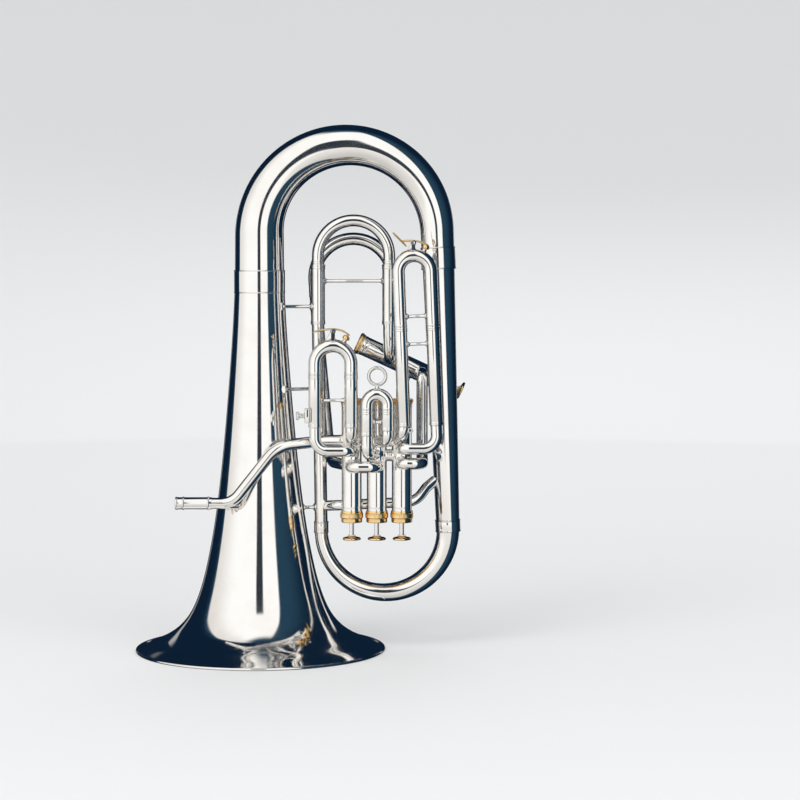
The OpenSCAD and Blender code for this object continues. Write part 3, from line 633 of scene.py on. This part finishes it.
def casing_outline(length):
    """Casing wall with a thickened threaded end, a fine bead and a step at each end."""
    r = CASING_R
    low = [(r + 0.15, 0, 0.1), (r + 0.35, 0.5, 0.2), (r + 0.35, 3.3, 0.3), (r, 4, 0.4)]
    beads = [(r, 7), (r + 0.28, 7.5, 0.25), (r, 8)]
    side = low + beads
    mirrored = [(p[0], length - p[1], *p[2:]) for p in side[::-1]]
    return rounded(side + mirrored, 0.1) + [(CASING_BORE_R, length), (CASING_BORE_R, 0)]


def on_valve_4(s):
    """Point on the fourth valve's axis, at distance s from its bottom cap."""
    return VALVE_4_BASE + s * VALVE_4_DIR


def valve_place(number):
    """Origin, axis and length of a casing, from its top cap towards its bottom cap."""
    if number == 4:
        return on_valve_4(CASING_4_LEN), -VALVE_4_DIR, CASING_4_LEN
    return Vector((VALVE_X[number - 1], VALVE_Y, CASING_TOP_Z)), Z.copy(), CASING_LEN


GAP = 15.05
PORTS = {  # height, angle round the casing and reach of each port
    1: [(ROW[0], 180, STUB), (SLIDE_1_RIGHT_Z, 270, STUB), (ROW[0], 0, GAP), (ROW[0], 90, STUB),
        (SLIDE_1_LEFT_Z, 270, STUB), (ROW[1], 90, STUB), (KNUCKLE_Z, 270, STUB), (ROW[2], 111, STUB)],
    2: [(ROW[0], 180, GAP), (ROW[0], 293, STUB), (ROW[0], 0, GAP), (ROW[0], 90, STUB),
        (ROW[1], 248, STUB), (CROSS_Z, 0, GAP), (ROW[1], 90, STUB), (KNUCKLE_Z, 270, STUB)],
    3: [(ROW[0], 180, GAP), (SLIDE_3_LEFT_Z, 270, STUB), (ROW[0], 90, STUB), (CROSS_Z, 180, GAP),
        (SLIDE_3_RIGHT_Z, 270, STUB), (ROW[1], 90, STUB), (LINK_Z, 270, STUB), (ROW[2], 90, STUB)],
}


def casings():
    for number in VALVES:
        base, axis, length = valve_place(number)
        shape = turned(base, axis, casing_outline(length), 96, ring=True)
        if number == 4:
            ports = [(MAIN_PORT_S, -Y), (MAIN_PORT_S, VALVE_4_UP), (RETURN_PORT_S, -VALVE_4_UP),
                     (LINK_PORT_S, -Y)]
            for s, out in ports:
                stub(shape, on_valve_4(s), axis, out, STUB)
        else:
            for height, angle, reach in PORTS[number]:
                s = radians(angle)
                center = Vector((base.x, base.y, height))
                stub(shape, center, axis, Vector((cos(s), sin(s), 0)), reach)
        silver(f"valve_casing_{number}", shape, f"casing_{number}")


def grip(depth, teeth, low, high):
    """Cuts fine upright grooves into the band between two heights."""
    def radius_at(r, h, s):
        if low < h < high:
            return r - depth * (0.5 + 0.5 * cos(teeth * s))
        return r
    return radius_at


def caps():
    for number in VALVES:
        base, axis, length = valve_place(number)
        outline = [(2.82, -11.9, 0), (5.6, -12, 0.5), (6.6, -11.8, 0.5), (8.4, -11.3, 0.6),
                   (12.0, -11.2, 0.9), (12.6, -10.4, 0.6), (12.6, -6.4, 0.6), (13.2, -5.6, 0.3),
                   (13.75, -5.25, 0.25), (13.8, -5.0, 0), (13.8, -0.3, 0), (13.75, 0, 0.25),
                   (13.3, 0.35, 0.3), (13.1, 0.7, 0.2), (13.1, 2.5, 0.3), (12.9, 2.95, 0.2), (12.5, 3, 0)]
        top = [(2.82, -9)] + rounded(outline) + [(12.5, -0.2), (CASING_BORE_R, -0.2), (CASING_BORE_R, -9)]
        shape = turned(base, axis, top, 216, ring=True, radius_at=grip(0.28, 54, -5.05, -0.25))
        mesh(f"valve_top_cap_{number}", shape, GOLD, replaces=[f"top_cap_{number}"], sharp=50)

        foot = base + (length + 0.2) * axis
        outline = [(12.5, 0, 0.2), (12.9, 0.3, 0.15), (12.9, 2.0, 0.3), (13.4, 2.4, 0.2),
                   (13.75, 2.7, 0.25), (13.8, 2.95, 0), (13.8, 5.1, 0), (13.75, 5.4, 0.3),
                   (13.35, 5.8, 0.3), (12.9, 6.1, 0.3), (12.55, 6.6, 0.4), (11.9, 6.5, 0.3),
                   (11.5, 5.9, 0.3), (11.0, 5.8, 0.2), (1.25, 5.8, 0.2), (1.0, 5.5, 0)]
        bottom = rounded(outline) + [(1.0, 4), (CASING_BORE_R, 4), (CASING_BORE_R, 0)]
        shape = turned(foot, axis, bottom, 216, ring=True, radius_at=grip(0.28, 54, 2.9, 5.15))
        mesh(f"valve_bottom_cap_{number}", shape, GOLD, replaces=[f"bottom_cap_{number}"], sharp=50)


def buttons():
    """A dished gold button on a silver stem, with a felt washer that lands on the cap."""
    for number in VALVES:
        base, axis, _ = valve_place(number)
        face = -CAP_H - BUTTON_GAP - 5
        body = f"valve_{number}"
        dish = [(r, face + h) for r, h in ((0.01, 1.5), (3, 1.35), (6, 1.0), (8.6, 0.5), (9.6, 0.12))]
        rim = rounded([(r, face + h, bend) for r, h, bend in (
            (9.6, 0.12, 0), (10.3, 0, 0.3), (11, 0.8, 0.5), (10.9, 2.2, 0.5), (9.4, 3.1, 0.6),
            (5.4, 3.9, 1.2), (4.2, 4.9, 0.4), (0.01, 5, 0))], 0.3, 5)
        disc = turned(base, axis, dish + rim[1:], 96)
        mesh(f"finger_button_{number}", disc, GOLD, body, [f"button_{number}"])
        start, end = face + 4.9, PISTON_START - 0.6
        stem = rounded([(0.01, start, 0), (3.3, start, 0.2), (3.3, start + 0.5, 0.2),
                        (2.65, start + 0.9, 0.1), (2.65, end, 0.2), (0.01, end, 0)], 0.2, 3)
        mesh(f"valve_stem_{number}", turned(base, axis, stem, 40), SILVER, body)
        felt = [(r, face + h) for r, h in ((2.7, 5), (4.6, 5), (4.9, 5.3), (4.9, 5.75), (4.6, 6), (2.7, 6))]
        mesh(f"button_felt_{number}", turned(base, axis, felt, 48, ring=True), FELT, body)


# ---- slides ----


def crook_line(slide, drop):
    """The line of a crook: up one leg, round the bend and down the other."""
    left = slide.at(-slide.half, -drop)
    right = slide.at(slide.half, -drop)
    bend = arc(slide.origin, -slide.out, slide.up, slide.half, 0, 180, 44)
    return straight(left, bend[0]) + bend + straight(bend[-1], right)


def inner_legs(name, tops, up, length, r, body):
    shape = Shape()
    for top in tops:
        tube(shape, straight(top - up * length, top), r, 0.45, 40)
    mesh(name, shape, INNER, body)


def slides():
    for number, slide in SLIDES.items():
        body = f"slide_{number}"
        drop = -slide.joint - 0.3
        shape = tube(Shape(), crook_line(slide, drop), SLIDE_R, 0.6, 48)
        for side in (-1, 1):
            collar(shape, slide.at(side * slide.half, -drop), slide.up, SLIDE_R - 0.1, SLIDE_R + 0.12, 3.2,
                   0.4, beads=1, sides=56)
        if number == 3:
            span = slide.half - SLIDE_R
            level = 409 - slide.origin.z
            strut(shape, slide.at(-span - 0.2, level), slide.at(span + 0.2, level), 2.0, 3.6)
        mesh(f"{body}_bend", shape, SILVER, body, [f"slide_{number}_crook"])
        tops = [slide.at(side * slide.half, -drop + 4) for side in (-1, 1)]
        inner_legs(f"{body}_legs", tops, slide.up, slide.inner_leg + 4, LEG_R, body)


def sleeve(shape, low, high):
    """A sleeve that closes down at its foot onto the tube that it meets."""
    length = (high - low).length
    bore = KNUCKLE_R - TUBE_WALL
    profile = [(bore, 0), (KNUCKLE_R + 0.15, 0), (KNUCKLE_R + 0.5, 0.35), (SLIDE_R, 1.2), (SLIDE_R, length),
               (SLEEVE_BORE_R, length), (SLEEVE_BORE_R, 5), (bore, 4.8)]
    lathe(shape, low, high - low, profile, 48, ring=True)


def sleeves():
    levels = {1: 309, 2: 283, 3: 376}  # heights of the braces
    for number, slide in SLIDES.items():
        shape = Shape()
        for side in (-1, 1):
            low, high = slide.foot(side), slide.at(side * slide.half, slide.joint)
            sleeve(shape, low, high)
            collar(shape, high - 5 * slide.up, slide.up, SLIDE_R - 0.1, SLIDE_R + 0.2, 5, 0.4, sides=56)
            collar(shape, low + 0.6 * slide.up, slide.up, SLIDE_R - 0.4, SLIDE_R + 0.1, 4.4, 0.35, sides=56)
        if number in levels:
            level = levels[number] - slide.origin.z
            span = slide.half - SLIDE_R + 0.2
            strut(shape, slide.at(-span, level), slide.at(span, level), 1.9, 3.4)
        silver(f"slide_{number}_outer", shape, f"slide_{number}_sleeves")


def main_slide():
    shape = Shape()
    for x in (MAIN_X, MAIN_RIGHT_X):
        low, high = Vector((x, 0, MAIN_FOOT_Z)), Vector((x, 0, MAIN_JOINT_Z))
        tube(shape, straight(low, high), MAIN_SLEEVE_R, 1.1, 56)
        collar(shape, high - 6 * Z, Z, MAIN_SLEEVE_R - 0.1, MAIN_SLEEVE_R + 0.25, 6, 0.4)
        collar(shape, low, Z, 7.0, MAIN_SLEEVE_R + 0.2, 5, 0.35)
    left = MAIN_X + MAIN_SLEEVE_R - 0.2
    right = MAIN_RIGHT_X - MAIN_SLEEVE_R + 0.2
    strut(shape, (left, 0, 451), (right, 0, 451), 1.9, 4)
    silver("main_slide_outer", shape, "main_slide_sleeves")

    center = Vector((MAIN_X + MAIN_HALF, 0, MAIN_ARC_Z))
    bend = arc(center, -X, Z, MAIN_HALF, 0, 180, 52)
    line = straight(bend[0] - MAIN_DROP * Z, bend[0]) + bend + straight(bend[-1], bend[-1] - MAIN_DROP * Z)
    shape = tube(Shape(), line, MAIN_CROOK_R, 0.6, 52)
    for x in (MAIN_X, MAIN_RIGHT_X):
        collar(shape, (x, 0, MAIN_ARC_Z - 9.6), Z, MAIN_CROOK_R - 0.1, MAIN_CROOK_R + 0.35, 5, 0.35)
    mesh("main_slide_bend", shape, SILVER, "main_slide", ["main_slide_crook"])
    tops = [Vector((x, 0, MAIN_ARC_Z - 9)) for x in (MAIN_X, MAIN_RIGHT_X)]
    inner_legs("main_slide_legs", tops, Z, 69, MAIN_CROOK_R - 0.02, "main_slide")

    entry = on_valve_4(MAIN_PORT_S)
    top = Vector((MAIN_RIGHT_X, 0, MAIN_FOOT_Z + 0.1))
    line = route([top, (top.x, 0, entry.z), entry - PORT_REACH * Y], [16])
    lower = tube(Shape(), line, [7.6, KNUCKLE_R], TUBE_WALL, 48)
    silver("main_slide_lower_bend", lower, "main_slide_elbow")


# ---- tubes between slides and valves ----


def port(valve, height, angle, reach=PORT_REACH):
    s = radians(angle)
    return Vector((VALVE_X[valve] + reach * cos(s), VALVE_Y + reach * sin(s), height))


def fixed_tubes():
    one, two, three, four = SLIDES.values()
    first, second, third = VALVE_X
    shape = Shape()
    runs = [
        (one.foot(-1), [(one.foot(-1).x, SLIDE_Y, SLIDE_1_LEFT_Z), (first, SLIDE_Y, SLIDE_1_LEFT_Z)],
         port(0, SLIDE_1_LEFT_Z, 270), [16, 10]),
        (one.foot(1), [(first, SLIDE_Y, SLIDE_1_RIGHT_Z)], port(0, SLIDE_1_RIGHT_Z, 270), [10]),
        (two.foot(-1), [(two.foot(-1).x, SLIDE_Y, ROW[1])], port(1, ROW[1], 248), [10]),
        (two.foot(1), [(two.foot(1).x, SLIDE_Y, ROW[0])], port(1, ROW[0], 293), [10]),
        (three.foot(-1), [(third, SLIDE_Y, SLIDE_3_LEFT_Z)], port(2, SLIDE_3_LEFT_Z, 270), [10]),
        (three.foot(1),
         [(three.foot(1).x + 1, SLIDE_Y, SLIDE_3_RIGHT_Z), (third, SLIDE_Y, SLIDE_3_RIGHT_Z)],
         port(2, SLIDE_3_RIGHT_Z, 270), [16, 10]),
    ]
    for start, corners, end, radii in runs:
        pipe(shape, [start, *corners, end], radii)
    foot = Vector((183.2, SLIDE_Y - 4, SLIDE_3_RIGHT_Z + 5.4))
    stem = rounded([(0.01, 0, 0), (1.6, 0, 0.2), (1.1, 1.6, 0.4), (1.0, 14.4, 0.3), (0.01, 14.6, 0)])
    lathe(shape, foot, Z, stem, 24)
    torus(shape, foot + 16.8 * Z, Y, 2.35, 0.85, 40, 14)
    silver("slide_gooseneck_tubes", shape, "slide_goosenecks")

    entry = on_valve_4(MAIN_PORT_S)
    shape = pipe(Shape(), [four.foot(1), entry + 26 * VALVE_4_UP, entry + PORT_REACH * VALVE_4_UP], [20])
    pipe(shape, [four.foot(-1), (84.5, 34, ROW[2]), port(0, ROW[2], 111)], [16])
    silver("slide_4_long_tubes", shape, "slide_4_pipes")

    shape = Shape()
    for valve, top in enumerate((312, 286, 334)):
        x, near, far = VALVE_X[valve], VALVE_Y + 27, VALVE_Y + 44.4
        line = route([port(valve, ROW[0], 90), (x, near, ROW[0]), (x, near, top), (x, far, top),
                      (x, far, ROW[1]), port(valve, ROW[1], 90)], [9, 8.6, 8.6, 9])
        tube(shape, line, 6.6, TUBE_WALL, 36)
    silver("compensating_loop_tubes", shape, "comp_loops")

    shape = pipe(Shape(), [port(0, KNUCKLE_Z, 270), (first, SLIDE_Y, KNUCKLE_Z),
                           (second, SLIDE_Y, KNUCKLE_Z), port(1, KNUCKLE_Z, 270)], [10, 10])
    silver("valve_u_knuckle", shape, "valve_knuckle")

    link = on_valve_4(LINK_PORT_S)
    back = on_valve_4(RETURN_PORT_S)
    front = -62
    shape = pipe(Shape(), [port(2, LINK_Z, 270), (third, front, LINK_Z), (link.x, front, LINK_Z),
                           (link.x, 0, LINK_Z + 3), (link.x, 0, link.z), link - PORT_REACH * Y],
                 [8, 12, 14, 16])
    pipe(shape, [port(2, ROW[2], 90), (third, 34, ROW[2]), (third, 34, 318),
                 back - PORT_REACH * VALVE_4_UP], [16, 14])
    silver("valve_4_link_tubes", shape, "valve_links")


# ---- braces and fittings ----


def braces():
    shape = Shape()
    strut(shape, (28.5, -13, 420), (62.8, -1, 420), 2, 4.6)
    strut(shape, (31, -22, 320), (64.5, -2, 320), 2, 4.6)
    strut(shape, (52.4, -6, 175), (66.8, -1, 175), 2, 4.6)
    strut(shape, (-36, -37.5, 178), (-36, -56, 182), 2, 4)
    silver("bell_brace_rods", shape, "bell_braces")

    stay_r = 6.3
    back = VALVE_Y + CASING_R + stay_r - 0.1
    line = route([(83, -2.5, 177), (94, back, 179), (190, back, 183.5), (203, -10, 200), (213.6, -4, 208)],
                 [12, 24, 14])
    shape = tube(Shape(), line, stay_r, 0.8, 36)
    silver("cluster_stay", shape, "cluster_brace")


LYRE = Vector((60.9, SLIDE_Y - 6, 290.9))


def lyre_holder():
    """A small block with rounded edges, drilled through for the lyre's shank."""
    half = Vector((3.4, 5, 8.5))
    middle = LYRE + 1.4 * Y
    edge = 1.1
    shape = Shape()
    sides = 48
    power = 0.55  # rounds the corners of the square section
    angles = [2 * pi * (k + 0.5) / sides for k in range(sides)]
    outer = [(half.x * copysign(abs(cos(s)) ** power, cos(s)),
              half.y * copysign(abs(sin(s)) ** power, sin(s))) for s in angles]
    levels = [(-half.z, 0.86), (-half.z + 0.3, 0.94), (-half.z + edge, 1), (half.z - edge, 1),
              (half.z - 0.3, 0.94), (half.z, 0.86)]
    rings = [[middle + Vector((x * f, y * f, z)) for x, y in outer] for z, f in levels]
    bore = 2.05
    for z in (half.z, -half.z):
        rings.append([LYRE + Vector((bore * cos(s), bore * sin(s), z)) for s in angles])
    shape.grid(rings, closed_along=True)
    boss = rounded([(1.62, -4.6, 0), (2.8, -4.6, 0.4), (3.2, -4.1, 0.4), (3.2, -3.2, 0.2),
                    (1.62, -3.2, 0)])
    lathe(shape, LYRE, X, boss, 40, ring=True)
    silver("lyre_holder", shape, "lyre_socket")


def lyre_thumbscrew():
    tip = LYRE - 2.55 * X
    screw = rounded([(0.01, 0, 0), (1.1, 0, 0.2), (1.45, 0.4, 0.2), (1.45, 2.3, 0), (2.4, 2.4, 0.2),
                     (2.6, 2.8, 0.2), (2.6, 6.6, 0.3), (2.1, 7.2, 0.2), (4.4, 7.4, 0.3), (4.9, 7.8, 0.3),
                     (4.9, 7.9, 0), (4.9, 10.5, 0), (4.9, 10.6, 0.3), (4.2, 11.0, 0.4), (0.01, 11.05, 0)],
                    0.25, 3)
    shape = turned(tip, -X, screw, 144, radius_at=grip(0.3, 24, 7.85, 10.55))
    mesh("lyre_thumbscrew_head", shape, SILVER, "lyre_thumbscrew", ["lyre_screw"], sharp=50)


NIPPLE_H = 3.2
PAD_GAP = 0.35
NIPPLE_ANGLE = radians(27)


def over_bend(slide, h):
    """The point at height h above a slide's bend, at the nipple's angle."""
    r = slide.half + SLIDE_R + h
    return slide.at(r * sin(NIPPLE_ANGLE), r * cos(NIPPLE_ANGLE))


def lever(shape, pivot, stations):
    """An oval bar; a station is distance and height from the pivot, half width and half depth."""
    line = tidy([pivot + Vector((x, 0, z)) for x, z, _, _ in stations])
    solid(shape, [oval_ring(p, u, v, w, h, 24)
                  for (_, u, v), p, (_, _, w, h) in zip(frames(line), line, stations)])


def water_key(number, pivot, levers):
    """Levers, pad cup, hinge barrel and cork of one water key, and its spring."""
    slide = SLIDES[number]
    body = f"key_{number}"
    shape = Shape()
    barrel = rounded([(1.26, -4, 0), (2.5, -4, 0.4), (2.6, -3.4, 0.2), (2.4, 0, 1), (2.6, 3.4, 0.2),
                      (2.5, 4, 0.4), (1.26, 4, 0)])
    lathe(shape, pivot, Y, barrel, 40, ring=True)
    for stations in levers:
        lever(shape, pivot, stations)
    cup = over_bend(slide, NIPPLE_H + PAD_GAP)
    out = unit(cup - slide.origin)
    dish = rounded([(0.01, 0.6, 0), (3.9, 0.6, 0), (4.0, 0, 0.1), (4.3, 0.1, 0.1), (4.3, 2.4, 0.8),
                    (3.5, 4.0, 0.8), (1.9, 4.5, 0.4), (1.6, 5.6, 0.3), (0.01, 5.9, 0)])
    lathe(shape, cup, out, dish, 48)
    mesh(f"water_key_{number}_lever", shape, GOLD, body, [f"water_key_{number}"])
    pad = [(0.01, -0.33, 0), (3.3, -0.33, 0.3), (3.7, 0.2, 0.2), (3.7, 0.9, 0), (0.01, 0.9, 0)]
    mesh(f"water_key_{number}_cork", turned(cup, out, rounded(pad, 0.25), 40), CORK, body)

    turns, coil_r = 3.6, 3.05
    coil = []
    for k in range(61):
        s = radians(180 + 360 * turns * k / 60)
        coil.append(pivot + Vector((coil_r * cos(s), -3.9 + 2.1 * k / 60, coil_r * sin(s))))
    rest = slide.origin + unit(Vector((-9.5, 0, 27.6))) * (slide.half + SLIDE_R + 0.35)
    line = [Vector((rest.x, SLIDE_Y - 3.9, rest.z - 1.0)),
            Vector((coil[0].x - 1.2, SLIDE_Y - 3.9, coil[0].z - 3.2))]
    mesh(f"water_key_{number}_spring", wire(line + coil, 0.3, 10), GOLD, f"slide_{number}")


def key_saddle(number, pivot, base_z):
    """Two round-topped cheeks on a curved foot, with the hinge screw and the nipple."""
    slide = SLIDES[number]
    body = f"slide_{number}"
    shape = Shape()
    for y in (-6, 4.3):
        cheek = [(3.2 * cos(s), 3.2 * sin(s)) for s in
                 [radians(-46 + 272 * k / 20) for k in range(21)]]
        low = base_z - 1.9
        cheek += [(-2.2, low), (2.2, low)]
        rings = [[pivot + Vector((x * f, y + dy, z * f if z > low else z)) for x, z in cheek]
                 for dy, f in ((0, 0.9), (0.25, 1), (1.45, 1), (1.7, 0.9))]
        solid(shape, rings, flip=True)
    center = pivot + Vector((0, 0, base_z + 0.25 - SLIDE_R))
    rings = []
    for k in range(25):
        s = radians(-54 + 108 * k / 24)
        reach = 3.1 if 0 < k < 24 else 2.7
        outer, inner = SLIDE_R + (0.95 if 0 < k < 24 else 0.5), SLIDE_R - 0.2
        rings.append([center + Vector((x, r * sin(s), r * cos(s)))
                      for x, r in ((-reach, inner), (-reach, outer - 0.25), (-reach + 0.25, outer),
                                   (reach - 0.25, outer), (reach, outer - 0.25), (reach, inner))])
    solid(shape, rings, flip=True)
    pin = rounded([(0.01, -6.5, 0), (1.9, -6.5, 0.3), (1.9, -5.9, 0.2), (1.2, -5.8, 0), (1.2, 6.1, 0.1),
                   (0.01, 6.4, 0)], 0.2)
    lathe(shape, pivot, Y, pin, 36)
    mesh(f"key_saddle_{number}_post", shape, SILVER, body, [f"key_saddle_{number}"])

    seat = over_bend(slide, 0)
    drain = rounded([(1.4, NIPPLE_H, 0.1), (2.4, NIPPLE_H, 0.2), (2.6, 2.7, 0.3), (2.4, 1.1, 0.6),
                     (3.3, -0.1, 0.2), (3.3, -0.5, 0.1), (1.4, -0.5, 0.1)], 0.2, closed=True)
    nipple = turned(seat, seat - slide.origin, drain, 36, ring=True)
    mesh(f"water_nipple_{number}", nipple, SILVER, body)


def water_keys():
    pivot = Vector((SLIDES[1].origin.x, SLIDE_Y, 391.2))
    arch = [(-25.0, -1.7, 1.2, 0.5), (-24.3, -1.4, 2.8, 0.9), (-21.5, -0.6, 3.9, 1.1),
            (-17, 0.4, 4.0, 1.15), (-12.8, 1.3, 3.0, 1.15), (-8, 2.1, 1.9, 1.15), (0, 2.5, 1.5, 1.2),
            (6, 1.9, 1.6, 1.15), (11, 0.5, 1.9, 1.1), (15, -1.6, 2.6, 1.0), (18.0, -3.6, 2.4, 0.9),
            (19.8, -5.0, 1.4, 0.6)]
    water_key(1, pivot, [arch])
    key_saddle(1, pivot, -9.8)

    pivot = SLIDES[3].at(0, 34)
    arm = [(-16.5, 2.8, 2.2, 0.6), (-13.5, 2.2, 1.9, 1.0), (-8, 2.4, 1.5, 1.2), (-3, 2.5, 1.5, 1.25),
           (1, 2.4, 1.5, 1.25), (6, 1.8, 1.6, 1.2), (11, 0.1, 1.9, 1.1), (14.6, -1.5, 2.6, 1.0),
           (17.2, -3.1, 2.4, 0.8), (18.8, -4.2, 1.3, 0.5)]
    slope = sqrt(0.5)
    plate = [(-16.2 + slope * d, 4 - slope * d, w, h) for d, w, h in
             ((-11.6, 0.8, 0.4), (-11.0, 2.2, 0.8), (-9.4, 3.6, 1.05), (-6.5, 4, 1.1), (0, 4, 1.15),
              (6.5, 4, 1.1), (9.4, 3.6, 1.05), (11.0, 2.2, 0.8), (11.6, 0.8, 0.4))]
    water_key(3, pivot, [arm, plate])
    key_saddle(3, pivot, -7.5)


def finger_ring():
    slide = SLIDES[2]
    hoop_r, wire_r, neck = 10.15, 1.95, 2.1
    top = slide.origin.z + slide.half + SLIDE_R
    center = Vector((slide.origin.x, SLIDE_Y, top + neck + hoop_r + wire_r))
    shape = torus(Shape(), center, Y, hoop_r, wire_r, 72, 24)
    foot = rounded([(0.01, -0.1, 0), (2.9, -0.3, 0.2), (2.3, 0.8, 0.6), (2.1, neck + 0.4, 0.4),
                    (0.01, neck + 1, 0)])
    lathe(shape, (center.x, SLIDE_Y, top), Z, foot, 32)
    mesh("finger_ring_hoop", shape, SILVER, "slide_2", ["finger_ring"])


# ---- pieces inside the valves ----


def pistons():
    """The pistons keep their CAD shapes and get their own finish."""
    for number in VALVES:
        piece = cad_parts[f"piston_{number}"]
        piece.data.materials.clear()
        piece.data.materials.append(PISTON)


def valve_springs():
    """Coils under the pistons, wound along each valve's own axis."""
    turns, per_turn, coil_r, wire_r = 6, 28, 7, 0.5
    for number in VALVES:
        base, axis, length = valve_place(number)
        side = unit(axis.cross(Y))
        other = axis.cross(side)
        low = PISTON_START + (PISTON_4_LEN if number == 4 else PISTON_LEN) + 0.2
        high = length + CAP_FLOOR
        steps = turns * per_turn
        line = []
        for k in range(steps + 1):
            s = 2 * pi * k / per_turn
            z = low + wire_r + (high - low - 2 * wire_r) * k / steps
            line.append(base + axis * z + (side * cos(s) + other * sin(s)) * coil_r)
        spring = mesh(f"valve_spring_coil_{number}", wire(line, wire_r, 12), SPRING,
                      replaces=[f"valve_spring_{number}"])
        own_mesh(spring)


# ---- studio ----


def staged(name, points, faces, material):
    data = bpy.data.meshes.new(name)
    data.from_pydata(points, [], faces)
    data.polygons.foreach_set("use_smooth", [True] * len(data.polygons))
    data.materials.append(material)
    piece = placed(name, data)
    return piece


def turned_grid(profile, sides, center):
    """Points and faces of a surface of revolution about the vertical, from (radius, height) points."""
    points = []
    for r, z in profile:
        for s in around(sides):
            points.append(center + Vector((r * sin(s), -r * cos(s), z)))
    faces = []
    for i in range(len(profile) - 1):
        for k in range(sides):
            j = (k + 1) % sides
            faces.append((i * sides + k, i * sides + j, (i + 1) * sides + j, (i + 1) * sides + k))
    return points, faces


def backdrop():
    """A round floor that curves up into a low wall, so that no horizon shows."""
    material, _, _ = nodes_of("studio_floor", (0.84, 0.84, 0.84), 0, 0.75)
    flat_r, span, rise, steps = 0.6, 5.4, 2.2, 36
    profile = [(0.001, 0)] + [(flat_r * k / 6, 0) for k in range(1, 6)]
    profile += [(flat_r + span * k / steps, rise * (k / steps) ** 2) for k in range(steps + 1)]
    points, faces = turned_grid(profile, 96, Vector((0.1, 0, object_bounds()[0].z)))
    floor = staged("floor", points, faces, material)
    floor.visible_glossy = False


def ease(value, start, end):
    """0 before start, 1 after end, smooth between."""
    t = min(max((value - start) / (end - start), 0), 1)
    return t * t * (3 - 2 * t)


def between(value, start, full, fade, end):
    return ease(value, start, full) * (1 - ease(value, fade, end))


def blend(first, second, t):
    return [a + (b - a) * t for a, b in zip(first, second)]


def surroundings(azimuth, elevation):
    """Colour that the horn mirrors from a direction: bright windows in front, a dark room behind."""
    a, e = azimuth, elevation
    navy = blend((0.018, 0.053, 0.091), (0.004, 0.014, 0.034), ease(a, 55, 110))
    if a < -99:
        navy = blend((0.004, 0.014, 0.034), (0.010, 0.045, 0.090), ease(a, -112, -100))
    level = 0.82 + 0.23 * ease(a, -95, -50)
    warm, neutral = (level, level * 0.97, level * 0.94), (level, level * 0.995, level * 0.985)
    white = blend(warm, neutral, ease(a, -95, -60))
    lit = between(a, -101, -99, 36, 38.5)
    ground = 0.86 - 0.24 * ease(-e, 5, 60)
    white = blend(white, (ground, ground * 0.98, ground * 0.955), ease(-e, 4, 14))
    window = blend(navy, white, lit * (1 - ease(e, 72, 82)) * (1 - ease(-e, 64, 80)))
    strips = between(a, 146, 147.5, 150, 151.5) + 0.5 * between(a, -151, -150, -147, -146)
    window = blend(window, (0.80, 0.78, 0.77), strips * (1 - ease(abs(e), 12, 20)))
    gap = between(a, -9, -7.5, 4.5, 6) * ease(e, -9, -6) * (1 - ease(e, 31, 35))
    return blend(window, (0.032, 0.041, 0.053), gap)


def dome():
    """A sphere round the horn that only its reflections see."""
    sides, rows, radius = 240, 120, 1.9
    material = bpy.data.materials.new("surroundings")
    material.use_nodes = True
    tree = material.node_tree
    tree.nodes.clear()
    color = add(tree, "VertexColor", layer_name="light")
    emission = add(tree, "Emission")
    output = add(tree, "OutputMaterial")
    tree.links.new(color.outputs["Color"], emission.inputs["Color"])
    tree.links.new(emission.outputs["Emission"], output.inputs["Surface"])
    heights = [-89.9 + 179.8 * k / rows for k in range(rows + 1)]
    profile = [(radius * cos(radians(e)), radius * sin(radians(e))) for e in heights]
    points, faces = turned_grid(profile, sides, Vector((0.1, 0, 0.3)))
    sphere = staged("dome", points, faces, material)
    values = []
    for elevation in heights:
        for k in range(sides):
            azimuth = 360 * k / sides
            values += [*surroundings(azimuth - 360 if azimuth > 180 else azimuth, elevation), 1]
    layer = sphere.data.color_attributes.new("light", "FLOAT_COLOR", "POINT")
    layer.data.foreach_set("color", values)
    sphere.visible_camera = False
    sphere.visible_shadow = False
    sphere.visible_diffuse = False
    material.cycles.emission_sampling = "NONE"


def studio():
    backdrop()
    dome()
    for name, place, size, power in (
        ("key_light", (-1.4, -2.2, 2.4), 1.6, 30),
        ("fill_light", (1.9, -1.8, 1.7), 1.8, 14),
        ("back_light", (0.5, 2.2, 2.4), 1.8, 14),
    ):
        data = bpy.data.lights.new(name, "AREA")
        data.shape = "SQUARE"
        data.size = size
        data.energy = power
        lamp = placed(name, data)
        lamp.location = place
        aim = Vector((0.05, 0, 0.32)) - Vector(place)
        lamp.rotation_euler = aim.to_track_quat("-Z", "Y").to_euler()
        lamp.visible_glossy = False

    world = bpy.data.worlds.new("studio_world")
    world.use_nodes = True
    world.node_tree.nodes["Background"].inputs["Color"].default_value = (0.93, 0.94, 0.95, 1)
    world.node_tree.nodes["Background"].inputs["Strength"].default_value = 0.85
    bpy.context.scene.world = world
    bpy.context.scene.view_settings.view_transform = "Standard"


def camera():
    """Level with the middle of the horn, far enough away to flatten the perspective."""
    distance, tilt, width_at_horn = 2.6, radians(3), 0.976
    aim = Vector((0.1708, 0, 0.306))
    data = bpy.data.cameras.new("camera")
    data.sensor_width = 36
    data.lens = 36 * distance / width_at_horn
    data.clip_start = 0.05
    data.clip_end = 60
    view = placed("camera", data)
    view.location = aim + distance * Vector((0, -cos(tilt), sin(tilt)))
    view.rotation_euler = (pi / 2 - tilt, 0, 0)
    bpy.context.scene.camera = view


for build in (camera, bell, bell_rim, bows, leadpipe, receiver, casings, caps, buttons, slides, sleeves,
              main_slide, fixed_tubes, braces, lyre_holder, lyre_thumbscrew, water_keys, finger_ring,
              pistons, valve_springs):
    build()
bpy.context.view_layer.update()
studio()
